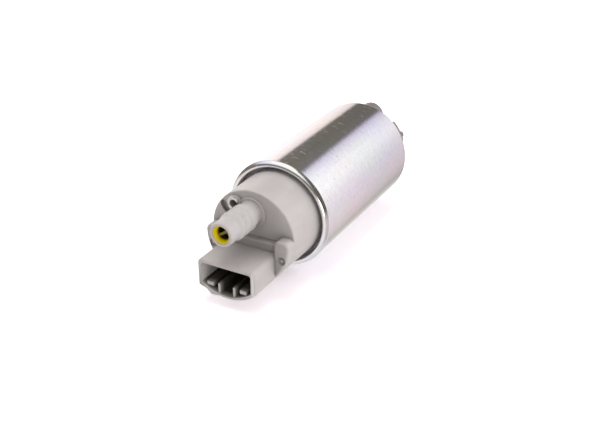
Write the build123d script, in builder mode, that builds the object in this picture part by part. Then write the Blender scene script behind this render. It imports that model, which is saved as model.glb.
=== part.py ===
from build123d import *
import os
from math import cos, degrees, radians, sin, sqrt

# Electric in-tank fuel pump, lying on its side.
# The pump's axis is Y: the outlet and the electrical socket face -Y, the inlet faces +Y.
# The origin is on the axis, half way along the straight wall of the can. Z is up.
# All lengths are in millimetres.

# Steel can
can_r = 19.0                  # outer radius of the standard 38 mm housing
can_straight = 62.4           # straight wall between the two rolled edges
can_wall = 1.6                # wall around the magnets
lip_wall = 0.9                # wall of the thinned ends, which are rolled over
roll_r = 1.6                  # outer radius of each rolled edge
cap_seat_depth = 8.0          # from the front edge of the straight wall to the cap's shoulder
pump_seat_depth = 12.0        # from the rear edge of the straight wall to the casing's shoulder

# Fits
seat_gap = 0.05               # radial gap of a piece dropped or pressed into its bore
running_gap = 0.05            # gap beside a piece that turns or slides
contact_gap = 0.03            # gap of two moving pieces that rest on each other

# Outlet cap
cap_height = 16.9             # from the front edge of the can's straight wall to the cap's face
cap_draft = 0.34              # the moulding's base has a larger radius than its face
cap_wall = 1.5
cap_face_wall = 1.6
cap_face_fillet = 0.5
cap_groove_depth = 3.2        # open groove between the cap and the can's rolled lip
cap_groove_width = 1.31
cap_flange_rim = 1.1          # width of the flange's rim outside the open groove

# Outlet spigot, a barbed hose stub on the cap's face
spigot_x = -0.4
spigot_z = 7.7
spigot_length = 17.6
spigot_tip_r = 3.75
spigot_land_r = 4.15          # plain land behind the tip, which the hose is pushed over
spigot_land_length = 3.6
spigot_tip_taper = 1.3
spigot_barb_r = 4.62
spigot_neck_r = 4.25
spigot_barb_pitch = 3.1
spigot_barbs = 3
spigot_pad_r = 5.3            # low round pad that the spigot stands on
spigot_pad_height = 0.5
spigot_bore_r = 3.05

# Electrical socket
socket_half_width = 10.4
socket_top_z = -3.4
socket_bottom_r = 15.5        # the underside follows an arc about the pump's axis
collar_depth = 1.8            # front collar, which steps down under the socket's left half
collar_side_z = -12.9
collar_step_x = -7.5
collar_step_z = -14.0
collar_edge_x = -5.8
collar_round_x = 5.4          # right of this the collar follows the underside's arc
socket_length = 16.5          # from the cap's face to the socket's front edge
socket_side_wall = 1.35
socket_top_wall = 1.2
socket_floor_r = 14.3
socket_corner_r = 1.5
socket_edge_fillet = 0.35
rib_setback = 0.4             # the ribs start just behind the front edge
inner_rib_x = 2.75
inner_rib_width = 0.9
inner_rib_top_z = -10.7
outer_rib_x = 6.05            # T-shaped rib: a head on a narrower stem
outer_rib_head_width = 2.5
outer_rib_top_z = -10.9
outer_rib_head_height = 1.3
outer_rib_stem_width = 1.3
outer_rib_stem_setback = 1.2  # the stem starts behind the head's front

# Lugs beside the socket, and the ledge above it
ear_length = 4.0
ear_into_socket = 0.4         # how far each lug reaches into the socket's side wall
ear_top_z = 2.0
ear_corner_r = 2.0
ear_edge_fillet = 0.5
dimple_from_rim = 2.55        # from the cap's rim to the dimple's centre, along X
dimple_z = -4.5
dimple_r = 1.5
dimple_depth = 0.5
dimple_dome_r = 0.85
ledge_length = 2.1
ledge_top_z = -0.45
ledge_fillet = 0.4

# Relief valve, beside the spigot
relief_x = -6.05
relief_below_wall = 4.04      # from the cap's inner wall down to the valve's axis
relief_tube_r = 3.1
relief_chamber_r = 1.9
relief_boss_corners = ((-1.35, 2.4), (-2.45, 0.7), (-1.35, -2.8), (2.2, 1.6))
relief_boss_height = 1.6
relief_boss_corner_r = 0.7
relief_boss_round_r = 2.5
relief_exit_r = 1.35
relief_exit_wall = 1.2        # plastic left between the chamber's end and the cap's face
relief_ball_r = 1.6
relief_seat_r = 0.9
relief_seat_length = 2.0
relief_spring_r = 1.45
relief_spring_wire_r = 0.2
relief_spring_turns = 5
relief_spring_margin = 0.5    # left between the turns when the ball has lifted fully
relief_travel = 1.2
moat_r = 4.85                 # curved recess beside the boss, about the relief hole
moat_width = 2.4
moat_start = 197
moat_end = 220
moat_depth = 1.2

# Check valve, inside the spigot
check_seat_depth = 1.9        # from the cap's face to the valve's seat
check_passage_r = 2.0
plunger_head_r = 2.6
plunger_head_length = 0.9
plunger_stem_r = 0.85
plunger_wing_length = 2.8
plunger_wing_width = 0.6
plunger_pin_r = 1.2           # pin inside the spring, stopped by the retainer's bar
check_seal_r = 2.7
check_seal_thickness = 0.8
check_spring_r = 2.2
check_spring_wire_r = 0.18
check_spring_turns = 6
check_travel = 2.0            # from the seat until the pin meets the bar
retainer_length = 4.2
retainer_recess = 0.15
retainer_mouth_r = 2.65
retainer_bore_r = 2.0
retainer_funnel_depth = 2.1
retainer_bar_width = 0.9
retainer_bar_length = 1.2
retainer_bar_angle = 34

# Bearings and shaft
shaft_r = 1.59
bearing_r = 3.3
bearing_length = 4.6
bearing_chamfer = 0.3
post_r = 5.0                  # post inside the cap that holds the front bearing
post_bore_r = 2.3
post_end_gap = 2.4            # between the post's end and the commutator's face
shaft_front_reach = 1.0       # shaft beyond the front bearing
shaft_flat = 1.25             # from the axis to the flat that drives the impeller

# Commutator and brushes
commutator_depth = 6.5        # from the front edge of the can's straight wall to its face
commutator_r = 11.0
commutator_inner_r = 4.6
segment_thickness = 2.0
segment_slot = 0.5
segment_count = 8
riser_length = 0.9
riser_width = 1.6
hub_r = 9.0
hub_thickness = 2.0
hub_sleeve_r = 3.6
hub_rim = 0.2
brush_x = 8.3
brush_width = 4.2             # across, along X
brush_height = 5.0            # along Z
brush_length = 11.0
brush_chamfer = 0.4
brush_travel = 2.5
brush_tube_wall = 1.2
brush_tube_gap = 1.2          # between the tube's end and the commutator's face
brush_spring_r = 1.75
brush_spring_wire_r = 0.22
brush_spring_turns = 6
lead_r = 0.45
lead_slot_width = 1.7
lead_from_end = 1.6           # from the brush's back end to its lead
lead_reach = 3.8              # along the choke, to the lead's far end

# Terminals and suppression chokes
blade_x = 4.5
blade_z = -7.4
blade_width = 4.8
blade_thickness = 0.8
blade_chamfer = 0.3
blade_recess = 6.0            # from the socket's front edge to the blades' tips
blade_root = 2.4              # blade inside the cap
blade_foot = 1.8
blade_gap = 0.02
choke_z = -7.0
choke_wall_gap = 0.14         # between the coil and the cap's inner wall
core_r = 1.5
core_length = 12.0
core_from_cap = 2.1           # from the cap's inner face to the choke's core
coil_r = 1.85
coil_wire_r = 0.27
coil_turns = 9
cradle_thickness = 1.0
cradle_width = 4.2

# Armature
core_radius = 12.2
armature_teeth = 8
tooth_width = 3.4
tooth_shoe = 1.5
tooth_opening = 2.0
core_hub_r = 5.6
insulator_thickness = 0.6
insulator_hub_r = 6.0
coil_inner_r = 6.3
coil_shoe_gap = 0.3           # between the winding and the shoes of the teeth
coil_side_gap = 0.2
coil_tooth_gap = 0.1
coil_overhang = 3.4           # winding beyond each end of the laminations
commutator_to_coil = 1.0
coil_to_boss = 1.2
coil_lead_r = 0.4

# Magnets
air_gap = 0.55
magnet_arc = 136
magnet_overhang = 1.5
clip_thickness = 0.6
clip_leg = 3.2
clip_side_gap = 0.15
clip_end_gap = 1.0

# Pump section
casing_thickness = 6.2
casing_boss_r = 5.2
casing_boss_height = 3.0
impeller_r = 15.0
impeller_thickness = 3.0
impeller_rim = 0.7            # plain ring outside the vane pockets
vane_length = 2.6             # radial length of each vane pocket
vane_pocket_width = 1.25
vane_count = 41
channel_r = 1.4
channel_start = 84            # angle of the inlet end, from +X towards +Z
channel_arc = 300
port_width = 2.6
port_arc = 20
shaft_hole_r = 1.9
cover_lip_gap = 0.8           # between the rolled lip and the raised part of the cover
cover_rise = 2.2              # from the rear edge of the straight wall
nozzle_x = 0.3
nozzle_from_rim = 0.1         # between the nozzle and the rim of the cover's raised part
nozzle_r = 4.9
nozzle_bore_r = 3.7
nozzle_length = 7.8           # beyond the cover's rear face
nozzle_bore_extra = 2.0       # the bore goes on into the cover
nozzle_fillet = 0.4
nozzle_pad_width = 0.8        # level ring around the nozzle's foot
peg_from_rim = 2.87           # from the rim of the cover's raised part to the peg's centre, along X
peg_z = 6.6
peg_r = 1.3
peg_pad_width = 0.3
peg_length = 5.2
rim_rib_width = 2.0
rim_rib_start = 18            # angle from +X towards +Z
rim_rib_arc = 29
rim_rib_height = 3.6
rear_boss_r = 4.6
rear_boss_height = 1.2
rear_pocket_r = 12.6
rear_pocket_depth = 1.8
rear_rib_width = 1.4
rear_rib_count = 6
vent_r = 0.7
vent_angle = 215
thrust_ball_r = 1.5
thrust_pocket_r = 2.3
thrust_pocket_clearance = 0.5
shaft_into_cover = 1.0

# Seal rings
ring_section_r = 0.75
ring_groove_width = 1.8

# Stations along the axis
front_y = -can_straight / 2
rear_y = can_straight / 2
seat_bore_r = can_r - lip_wall
inner_r = can_r - can_wall
lip_inset = roll_r - lip_wall
flange_r = seat_bore_r - seat_gap
flange_front_y = front_y - lip_inset + seat_gap
flange_rear_y = front_y + cap_seat_depth
cap_face_y = front_y - cap_height
cap_floor_y = cap_face_y + cap_face_wall
groove_outer_r = flange_r - cap_flange_rim
cap_base_r = groove_outer_r - cap_groove_width
cap_face_r = cap_base_r - cap_draft
cap_inner_r = cap_base_r - cap_wall
relief_z = cap_inner_r - relief_below_wall
choke_reach = cap_inner_r - choke_wall_gap - coil_r - coil_wire_r
choke_x = sqrt(choke_reach ** 2 - choke_z ** 2)
ear_inner_x = socket_half_width - ear_into_socket
dimple_x = cap_face_r - dimple_from_rim
groove_bottom_y = flange_front_y + cap_groove_depth
socket_front_y = cap_face_y - socket_length
ear_front_y = cap_face_y - ear_length
spigot_tip_y = cap_face_y - spigot_length
commutator_face_y = front_y + commutator_depth
segment_rear_y = commutator_face_y + segment_thickness
hub_rear_y = segment_rear_y + hub_thickness
post_end_y = commutator_face_y - post_end_gap
front_bearing_y = post_end_y - seat_gap - bearing_length
casing_front_y = rear_y - pump_seat_depth
casing_rear_y = casing_front_y + casing_thickness
boss_front_y = casing_front_y - casing_boss_height
pocket_depth = impeller_thickness + 2 * running_gap
pocket_front_y = casing_rear_y - pocket_depth
cover_shoulder_y = rear_y + lip_inset - seat_gap
cover_rear_y = rear_y + cover_rise
cover_face_r = can_r - roll_r - cover_lip_gap
rim_rib_inner_r = cover_face_r - rim_rib_width
nozzle_z = cover_face_r - nozzle_r - nozzle_from_rim
peg_x = cover_face_r - peg_from_rim
core_front_y = hub_rear_y + commutator_to_coil + coil_overhang
core_rear_y = boss_front_y - coil_to_boss - coil_overhang
core_stack = core_rear_y - core_front_y
coil_outer_r = core_radius - tooth_shoe - coil_shoe_gap
vane_r = impeller_r - impeller_rim - vane_length / 2
shaft_front_y = front_bearing_y - shaft_front_reach
shaft_rear_y = casing_rear_y + shaft_into_cover
magnet_inner_r = core_radius + air_gap
magnet_outer_r = inner_r - seat_gap
magnet_front_y = core_front_y - magnet_overhang
magnet_rear_y = core_rear_y + magnet_overhang
cap_ring_y = (groove_bottom_y + flange_rear_y) / 2
casing_ring_y = (casing_front_y + pocket_front_y) / 2
brush_front_y = commutator_face_y - contact_gap
brush_rear_y = brush_front_y - brush_length
lead_y = brush_rear_y + lead_from_end
brush_tube_end_y = commutator_face_y - brush_tube_gap
relief_chamber_end_y = cap_face_y + relief_exit_wall
relief_spring_front_y = relief_chamber_end_y + relief_spring_wire_r + contact_gap
relief_spring_solid = 2 * relief_spring_wire_r * relief_spring_turns
relief_spring_length = relief_spring_solid + relief_travel + relief_spring_margin
relief_spring_rear_y = relief_spring_front_y + relief_spring_length
ball_grip_r = relief_ball_r + relief_spring_wire_r + contact_gap
relief_ball_y = relief_spring_rear_y + sqrt(ball_grip_r ** 2 - relief_spring_r ** 2)
ball_to_seat = sqrt(relief_ball_r ** 2 - relief_seat_r ** 2) + contact_gap
relief_seat_front_y = relief_ball_y + ball_to_seat
relief_tube_end_y = relief_seat_front_y + relief_seat_length
check_seat_y = cap_face_y - check_seat_depth
core_y = cap_floor_y + core_from_cap

os.makedirs("parts", exist_ok=True)


def station(y):
    """Plane across the pump's axis at y. It faces the outlet, and its axes are X and Z."""
    return Plane.XZ.offset(-y)


def radial_plane(angle):
    """Plane through the axis whose first axis points outwards at an angle from +X to +Z."""
    outwards = (cos(radians(angle)), 0, sin(radians(angle)))
    return Plane(origin=(0, 0, 0), x_dir=outwards, z_dir=(-outwards[2], 0, outwards[0]))


def rolled_edge(edge_y, side):
    """Three arcs of the rolled edge at one end of the can. side is -1 in front, 1 behind."""
    centre = (can_r - roll_r, edge_y)
    tip = (can_r - roll_r, edge_y + side * (roll_r - lip_wall / 2))
    CenterArc(centre, roll_r, 0, side * 90)
    CenterArc(tip, lip_wall / 2, side * 90, side * 180)
    CenterArc(centre, lip_inset, side * 90, -side * 90)


def ring_sector(inner, outer, start, arc):
    """Outline of a sector of a ring about the sketch's origin, from start over arc degrees."""
    first, last = radians(start), radians(start + arc)
    Line((inner * cos(first), inner * sin(first)), (outer * cos(first), outer * sin(first)))
    CenterArc((0, 0), outer, start, arc)
    Line((outer * cos(last), outer * sin(last)), (inner * cos(last), inner * sin(last)))
    CenterArc((0, 0), inner, start + arc, -arc)


# Can: a drawn tube, thinned at both ends and rolled over the cap and the cover
with BuildPart() as motor_can:
    with BuildSketch():
        with BuildLine():
            Line((can_r, front_y), (can_r, rear_y))
            rolled_edge(front_y, -1)
            rolled_edge(rear_y, 1)
            Polyline(
                (seat_bore_r, front_y),
                (seat_bore_r, flange_rear_y),
                (inner_r, flange_rear_y),
                (inner_r, casing_front_y),
                (seat_bore_r, casing_front_y),
                (seat_bore_r, rear_y),
            )
        make_face()
    revolve(axis=Axis.Y)
motor_can.part.label = "motor_can"
export_step(motor_can.part, "parts/motor_can.step")


def arc_point(radius, x):
    """Point below the axis, at x, on an arc of this radius about the axis."""
    return (x, -sqrt(radius ** 2 - x ** 2))


def socket_outline(half_width, top_z, bottom_r):
    """Straight top and sides of the socket or its cavity, closed by an arc about the axis."""
    left_end, right_end = arc_point(bottom_r, -half_width), arc_point(bottom_r, half_width)
    Polyline(right_end, (half_width, top_z), (-half_width, top_z), left_end)
    ThreePointArc(left_end, (0, -bottom_r), right_end)


# Socket of the cap, with its front collar, cavity and keying ribs
socket_inner_x = socket_half_width - socket_side_wall
socket_inner_top_z = socket_top_z - socket_top_wall
rib_foot_r = (socket_floor_r + socket_bottom_r) / 2
with BuildPart() as socket:
    with BuildSketch(station(cap_floor_y)) as body_outline:
        with BuildLine():
            socket_outline(socket_half_width, socket_top_z, socket_bottom_r)
        make_face()
        fillet(body_outline.vertices().sort_by(Axis.Y)[-2:], radius=socket_corner_r)
    extrude(amount=cap_floor_y - socket_front_y - collar_depth)
    with BuildSketch(station(socket_front_y + collar_depth)) as collar_outline:
        with BuildLine():
            Polyline(
                arc_point(socket_bottom_r, socket_half_width),
                (socket_half_width, socket_top_z),
                (-socket_half_width, socket_top_z),
                (-socket_half_width, collar_side_z),
                (collar_step_x, collar_step_z),
                (collar_edge_x, -socket_bottom_r),
                arc_point(socket_bottom_r, collar_round_x),
            )
            ThreePointArc(
                arc_point(socket_bottom_r, collar_round_x),
                arc_point(socket_bottom_r, (collar_round_x + socket_half_width) / 2),
                arc_point(socket_bottom_r, socket_half_width),
            )
        make_face()
        fillet(collar_outline.vertices().sort_by(Axis.Y)[-2:], radius=socket_corner_r)
    extrude(amount=collar_depth)
    front_rim = socket.faces().sort_by(Axis.Y)[0].outer_wire().edges()
    fillet(front_rim, radius=socket_edge_fillet)
    with BuildSketch(station(socket_front_y)) as cavity_outline:
        with BuildLine():
            socket_outline(socket_inner_x, socket_inner_top_z, socket_floor_r)
        make_face()
        fillet(
            cavity_outline.vertices().sort_by(Axis.Y)[-2:],
            radius=socket_corner_r - socket_top_wall / 2,
        )
    extrude(amount=-socket_length, mode=Mode.SUBTRACT)
    for setback, rib_x, top_z, width, height in (
        (0, inner_rib_x, inner_rib_top_z, inner_rib_width, rib_foot_r),
        (0, outer_rib_x, outer_rib_top_z, outer_rib_head_width, outer_rib_head_height),
        (outer_rib_stem_setback, outer_rib_x, outer_rib_top_z, outer_rib_stem_width, rib_foot_r),
    ):
        with BuildSketch(station(socket_front_y + rib_setback + setback)):
            with Locations((-rib_x, top_z), (rib_x, top_z)):
                Rectangle(width, height, align=(Align.CENTER, Align.MAX))
            Circle(rib_foot_r, mode=Mode.INTERSECT)
        extrude(amount=rib_setback + setback - socket_length)

# One lug of the cap beside the socket, with its moulded dimple
with BuildPart() as ear:
    with BuildSketch(station(cap_floor_y)):
        with Locations((ear_inner_x, ear_top_z)):
            Rectangle(
                2 * cap_face_r, ear_top_z + cap_face_r, align=(Align.MIN, Align.MAX)
            )
        Circle(cap_face_r, mode=Mode.INTERSECT)
    extrude(amount=cap_floor_y - ear_front_y)
    ear_top_width = sqrt(cap_face_r ** 2 - ear_top_z ** 2) - ear_inner_x
    fillet(
        ear.edges().filter_by(Axis.Y).group_by(Axis.Z)[-1],
        radius=min(ear_corner_r, 0.45 * ear_top_width),
    )
    fillet(ear.faces().sort_by(Axis.Y)[0].edges(), radius=ear_edge_fillet)
    with BuildSketch(station(ear_front_y)):
        with Locations((dimple_x, dimple_z)):
            Circle(dimple_r)
            Circle(dimple_dome_r, mode=Mode.SUBTRACT)
    extrude(amount=-dimple_depth, mode=Mode.SUBTRACT)

# Ledge of the cap between the lugs, above the socket
with BuildPart() as ledge:
    with BuildSketch(station(cap_floor_y)):
        with Locations((0, ledge_top_z)):
            Rectangle(
                2 * ear_inner_x + ear_edge_fillet,
                ledge_top_z - socket_top_z + socket_top_wall / 2,
                align=(Align.CENTER, Align.MAX),
            )
    extrude(amount=cap_floor_y - cap_face_y + ledge_length)
    ledge_edge = ledge.edges().filter_by(Axis.X).sort_by_distance(
        (0, cap_face_y - ledge_length, ledge_top_z)
    )[0]
    fillet(ledge_edge, radius=ledge_fillet)

# Outlet spigot of the cap: pad, barbs, plain land and tapered tip
spigot_axis = Axis((spigot_x, 0, spigot_z), (0, 1, 0))
land_rear_y = spigot_tip_y + spigot_tip_taper + spigot_land_length
with BuildPart() as spigot:
    with BuildSketch(Plane(origin=(spigot_x, 0, spigot_z))):
        with BuildLine():
            Polyline(
                (0, cap_floor_y),
                (0, spigot_tip_y),
                (spigot_tip_r, spigot_tip_y),
                (spigot_land_r, spigot_tip_y + spigot_tip_taper),
                (spigot_land_r, land_rear_y),
            )
            barb_front = (spigot_land_r, land_rear_y)
            for barb in range(spigot_barbs):
                barb_y = land_rear_y + (barb + 0.65) * spigot_barb_pitch
                neck = (spigot_neck_r, land_rear_y + (barb + 1) * spigot_barb_pitch)
                Spline(barb_front, (spigot_barb_r, barb_y), neck)
                barb_front = neck
            Polyline(
                neck,
                (spigot_neck_r, cap_face_y - spigot_pad_height),
                (spigot_pad_r, cap_face_y - spigot_pad_height),
                (spigot_pad_r, cap_floor_y),
                (0, cap_floor_y),
            )
        make_face()
    revolve(axis=spigot_axis)
    tip_edge = spigot.edges().filter_by(GeomType.CIRCLE).sort_by(Axis.Y)[0]
    fillet(tip_edge, radius=0.4)

# Boss of the relief valve's outlet, a rounded block with a round shoulder beside it
with BuildPart() as relief_boss:
    with BuildSketch(station(cap_floor_y)) as boss_outline:
        with Locations((relief_x, relief_z)):
            Polygon(*relief_boss_corners, align=None)
        fillet(boss_outline.vertices(), radius=relief_boss_corner_r)
    extrude(amount=cap_face_wall + relief_boss_height)
    with BuildSketch(station(cap_floor_y)):
        with Locations((relief_x, relief_z)):
            Circle(relief_boss_round_r)
    extrude(amount=cap_face_wall + relief_boss_height / 2)

# Outlet cap: the moulded end that carries the brushes, bearing, valves and socket
brush_tube_width = brush_width + 2 * (running_gap + brush_tube_wall)
brush_tube_height = brush_height + 2 * (running_gap + brush_tube_wall)
slot_end_y = lead_y - brush_travel - lead_slot_width / 2
with BuildPart() as outlet_cap:
    with BuildSketch() as cap_profile:
        with BuildLine():
            Polyline(
                (0, cap_face_y),
                (cap_face_r, cap_face_y),
                (cap_base_r, groove_bottom_y),
                (groove_outer_r, groove_bottom_y),
                (groove_outer_r, flange_front_y),
                (flange_r, flange_front_y),
                (flange_r, flange_rear_y),
                (cap_inner_r, flange_rear_y),
                (cap_inner_r, cap_floor_y),
                (0, cap_floor_y),
                close=True,
            )
        make_face()
        face_corner = cap_profile.vertices().sort_by_distance((cap_face_r, cap_face_y))[0]
        fillet(face_corner, radius=cap_face_fillet)
        flange_corner = cap_profile.vertices().sort_by_distance((flange_r, flange_front_y))[0]
        fillet(flange_corner, radius=lip_inset)
    revolve(axis=Axis.Y)
    with BuildSketch(station(cap_floor_y)):
        Circle(post_r)
    extrude(amount=cap_floor_y - post_end_y)
    with BuildSketch(station(cap_floor_y)):
        with Locations((-brush_x, 0), (brush_x, 0)):
            Rectangle(brush_tube_width, brush_tube_height)
    extrude(amount=cap_floor_y - brush_tube_end_y)
    with BuildSketch(station(cap_floor_y)):
        with Locations((relief_x, relief_z)):
            Circle(relief_tube_r)
    extrude(amount=cap_floor_y - relief_tube_end_y)
    for cradle_y in (core_y, core_y + core_length - cradle_thickness):
        with BuildSketch(station(cradle_y)):
            with Locations((-choke_x, choke_z - core_r), (choke_x, choke_z - core_r)):
                Rectangle(cradle_width, 2 * cradle_width)
            Circle((cap_inner_r + cap_base_r) / 2, mode=Mode.INTERSECT)
            with Locations((-choke_x, choke_z), (choke_x, choke_z)):
                Circle(core_r + seat_gap, mode=Mode.SUBTRACT)
                Rectangle(
                    2 * (core_r + seat_gap),
                    2 * cradle_width,
                    align=(Align.CENTER, Align.MIN),
                    mode=Mode.SUBTRACT,
                )
        extrude(amount=-cradle_thickness)
    add(socket.part)
    add(ear.part)
    mirror(ear.part, about=Plane.YZ)
    add(ledge.part)
    add(spigot.part)
    add(relief_boss.part)
    with BuildSketch(station(post_end_y)):
        Circle(bearing_r + seat_gap)
    extrude(amount=bearing_length + seat_gap, mode=Mode.SUBTRACT)
    with BuildSketch(station(post_end_y)):
        Circle(post_bore_r)
    extrude(amount=post_end_y - cap_floor_y, mode=Mode.SUBTRACT)
    with BuildSketch(station(brush_tube_end_y)):
        with Locations((-brush_x, 0), (brush_x, 0)):
            Rectangle(brush_width + 2 * running_gap, brush_height + 2 * running_gap)
    extrude(amount=brush_tube_end_y - cap_floor_y, mode=Mode.SUBTRACT)
    with BuildSketch(station(brush_tube_end_y)):
        with Locations((-brush_x, 0), (brush_x, 0)):
            Rectangle(lead_slot_width, brush_tube_height, align=(Align.CENTER, Align.MAX))
    extrude(amount=brush_tube_end_y - slot_end_y, mode=Mode.SUBTRACT)
    with BuildSketch(station(relief_tube_end_y)):
        with Locations((relief_x, relief_z)):
            Circle(relief_chamber_r)
    extrude(amount=relief_tube_end_y - relief_chamber_end_y, mode=Mode.SUBTRACT)
    with BuildSketch(station(relief_tube_end_y)):
        with Locations((relief_x, relief_z)):
            Circle(relief_exit_r)
    extrude(amount=relief_tube_end_y - cap_face_y + relief_boss_height, mode=Mode.SUBTRACT)
    with BuildSketch(station(cap_face_y)):
        with Locations((relief_x, relief_z)):
            SlotArc(CenterArc((0, 0), moat_r, moat_start, moat_end - moat_start), moat_width)
    extrude(amount=-moat_depth, mode=Mode.SUBTRACT)
    with BuildSketch(station(cap_floor_y)):
        with Locations((spigot_x, spigot_z)):
            Circle(check_passage_r)
    extrude(amount=cap_floor_y - check_seat_y, mode=Mode.SUBTRACT)
    with BuildSketch(station(check_seat_y)):
        with Locations((spigot_x, spigot_z)):
            Circle(spigot_bore_r)
    extrude(amount=check_seat_y - spigot_tip_y, mode=Mode.SUBTRACT)
    with BuildSketch(station(cap_floor_y)):
        with Locations((-blade_x, blade_z), (blade_x, blade_z)):
            Rectangle(blade_width + 2 * blade_gap, blade_thickness + 2 * blade_gap)
    extrude(amount=cap_face_wall, mode=Mode.SUBTRACT)
    with BuildSketch():
        with Locations((flange_r, cap_ring_y)):
            Rectangle(2 * (2 * ring_section_r + seat_gap), ring_groove_width)
    revolve(axis=Axis.Y, mode=Mode.SUBTRACT)
outlet_cap.part.label = "outlet_cap"
export_step(outlet_cap.part, "parts/outlet_cap.step")

# Seal ring in the cap's flange
with BuildPart() as cap_seal_ring:
    with BuildSketch():
        with Locations((seat_bore_r - seat_gap - ring_section_r, cap_ring_y)):
            Circle(ring_section_r)
    revolve(axis=Axis.Y)
cap_seal_ring.part.label = "cap_seal_ring"
export_step(cap_seal_ring.part, "parts/cap_seal_ring.step")

# Check valve retainer: a sleeve in the spigot's mouth, with a bar across its bore
retainer_r = spigot_bore_r - seat_gap
retainer_front_y = spigot_tip_y + retainer_recess
retainer_rear_y = retainer_front_y + retainer_length
bar_front_y = retainer_front_y + retainer_funnel_depth
with BuildPart() as check_valve_retainer:
    with BuildSketch(Plane(origin=(spigot_x, 0, spigot_z))):
        with BuildLine():
            Polyline(
                (retainer_r, retainer_front_y),
                (retainer_r, retainer_rear_y),
                (retainer_bore_r, retainer_rear_y),
                (retainer_bore_r, bar_front_y),
                (retainer_mouth_r, retainer_front_y),
                close=True,
            )
        make_face()
    revolve(axis=spigot_axis)
    with BuildSketch(station(bar_front_y)):
        with Locations((spigot_x, spigot_z)):
            Rectangle(
                2 * (retainer_bore_r + seat_gap), retainer_bar_width, rotation=retainer_bar_angle
            )
    extrude(amount=-retainer_bar_length)
check_valve_retainer.part.label = "check_valve_retainer"
export_step(check_valve_retainer.part, "parts/check_valve_retainer.step")

# Check valve plunger: head, pin inside the spring, and a stem with three guide wings
seal_rear_y = check_seat_y - contact_gap
head_rear_y = seal_rear_y - check_seal_thickness
head_front_y = head_rear_y - plunger_head_length
pin_tip_y = bar_front_y + retainer_bar_length + check_travel + contact_gap
stem_rear_y = check_seat_y + plunger_wing_length
with BuildPart() as check_valve_plunger:
    with BuildSketch(station(stem_rear_y)):
        with Locations((spigot_x, spigot_z)):
            Circle(plunger_stem_r)
    extrude(amount=stem_rear_y - head_rear_y)
    with BuildSketch(station(stem_rear_y)):
        with Locations((spigot_x, spigot_z)):
            with PolarLocations(0, 3, start_angle=90):
                Rectangle(
                    check_passage_r - running_gap,
                    plunger_wing_width,
                    align=(Align.MIN, Align.CENTER),
                )
    extrude(amount=plunger_wing_length - running_gap)
    with BuildSketch(station(head_rear_y)):
        with Locations((spigot_x, spigot_z)):
            Circle(plunger_head_r)
    extrude(amount=plunger_head_length)
    with BuildSketch(station(head_front_y)):
        with Locations((spigot_x, spigot_z)):
            Circle(plunger_pin_r)
    extrude(amount=head_front_y - pin_tip_y)
    fillet(check_valve_plunger.faces().sort_by(Axis.Y)[0].edges(), radius=plunger_pin_r / 3)
check_valve_plunger.part.label = "check_valve_plunger"
export_step(check_valve_plunger.part, "parts/check_valve_plunger.step")

# Check valve seal: a rubber washer behind the plunger's head
with BuildPart() as check_valve_seal:
    with BuildSketch(station(seal_rear_y)):
        with Locations((spigot_x, spigot_z)):
            Circle(check_seal_r)
            Circle(plunger_stem_r + seat_gap, mode=Mode.SUBTRACT)
    extrude(amount=check_seal_thickness)
check_valve_seal.part.label = "check_valve_seal"
export_step(check_valve_seal.part, "parts/check_valve_seal.step")

# Check valve spring, between the plunger's head and the retainer
check_spring_rear_y = head_front_y - check_spring_wire_r - contact_gap
check_spring_front_y = retainer_rear_y + check_spring_wire_r + contact_gap
check_spring_length = check_spring_rear_y - check_spring_front_y
with BuildPart() as check_valve_spring:
    with BuildLine() as spring_path:
        Helix(
            check_spring_length / check_spring_turns,
            check_spring_length,
            check_spring_r,
            center=(spigot_x, check_spring_front_y, spigot_z),
            direction=(0, 1, 0),
        )
    with BuildSketch(Plane(origin=spring_path.line @ 0, z_dir=spring_path.line % 0)):
        Circle(check_spring_wire_r)
    sweep(path=spring_path.line, is_frenet=True)
check_valve_spring.part.label = "check_valve_spring"
export_step(check_valve_spring.part, "parts/check_valve_spring.step")

# Relief valve seat: a metal bush in the end of its tube
with BuildPart() as relief_valve_seat:
    with BuildSketch(station(relief_tube_end_y)):
        with Locations((relief_x, relief_z)):
            Circle(relief_chamber_r - seat_gap)
            Circle(relief_seat_r, mode=Mode.SUBTRACT)
    extrude(amount=relief_seat_length)
relief_valve_seat.part.label = "relief_valve_seat"
export_step(relief_valve_seat.part, "parts/relief_valve_seat.step")

# Relief valve ball, resting on the rim of the seat's hole
with BuildPart() as relief_valve_ball:
    with Locations((relief_x, relief_ball_y, relief_z)):
        Sphere(relief_ball_r)
relief_valve_ball.part.label = "relief_valve_ball"
export_step(relief_valve_ball.part, "parts/relief_valve_ball.step")

# Relief valve spring, between the ball and the end of its chamber
with BuildPart() as relief_valve_spring:
    with BuildLine() as relief_path:
        Helix(
            relief_spring_length / relief_spring_turns,
            relief_spring_length,
            relief_spring_r,
            center=(relief_x, relief_spring_front_y, relief_z),
            direction=(0, 1, 0),
        )
    with BuildSketch(Plane(origin=relief_path.line @ 0, z_dir=relief_path.line % 0)):
        Circle(relief_spring_wire_r)
    sweep(path=relief_path.line, is_frenet=True)
relief_valve_spring.part.label = "relief_valve_spring"
export_step(relief_valve_spring.part, "parts/relief_valve_spring.step")

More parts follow.
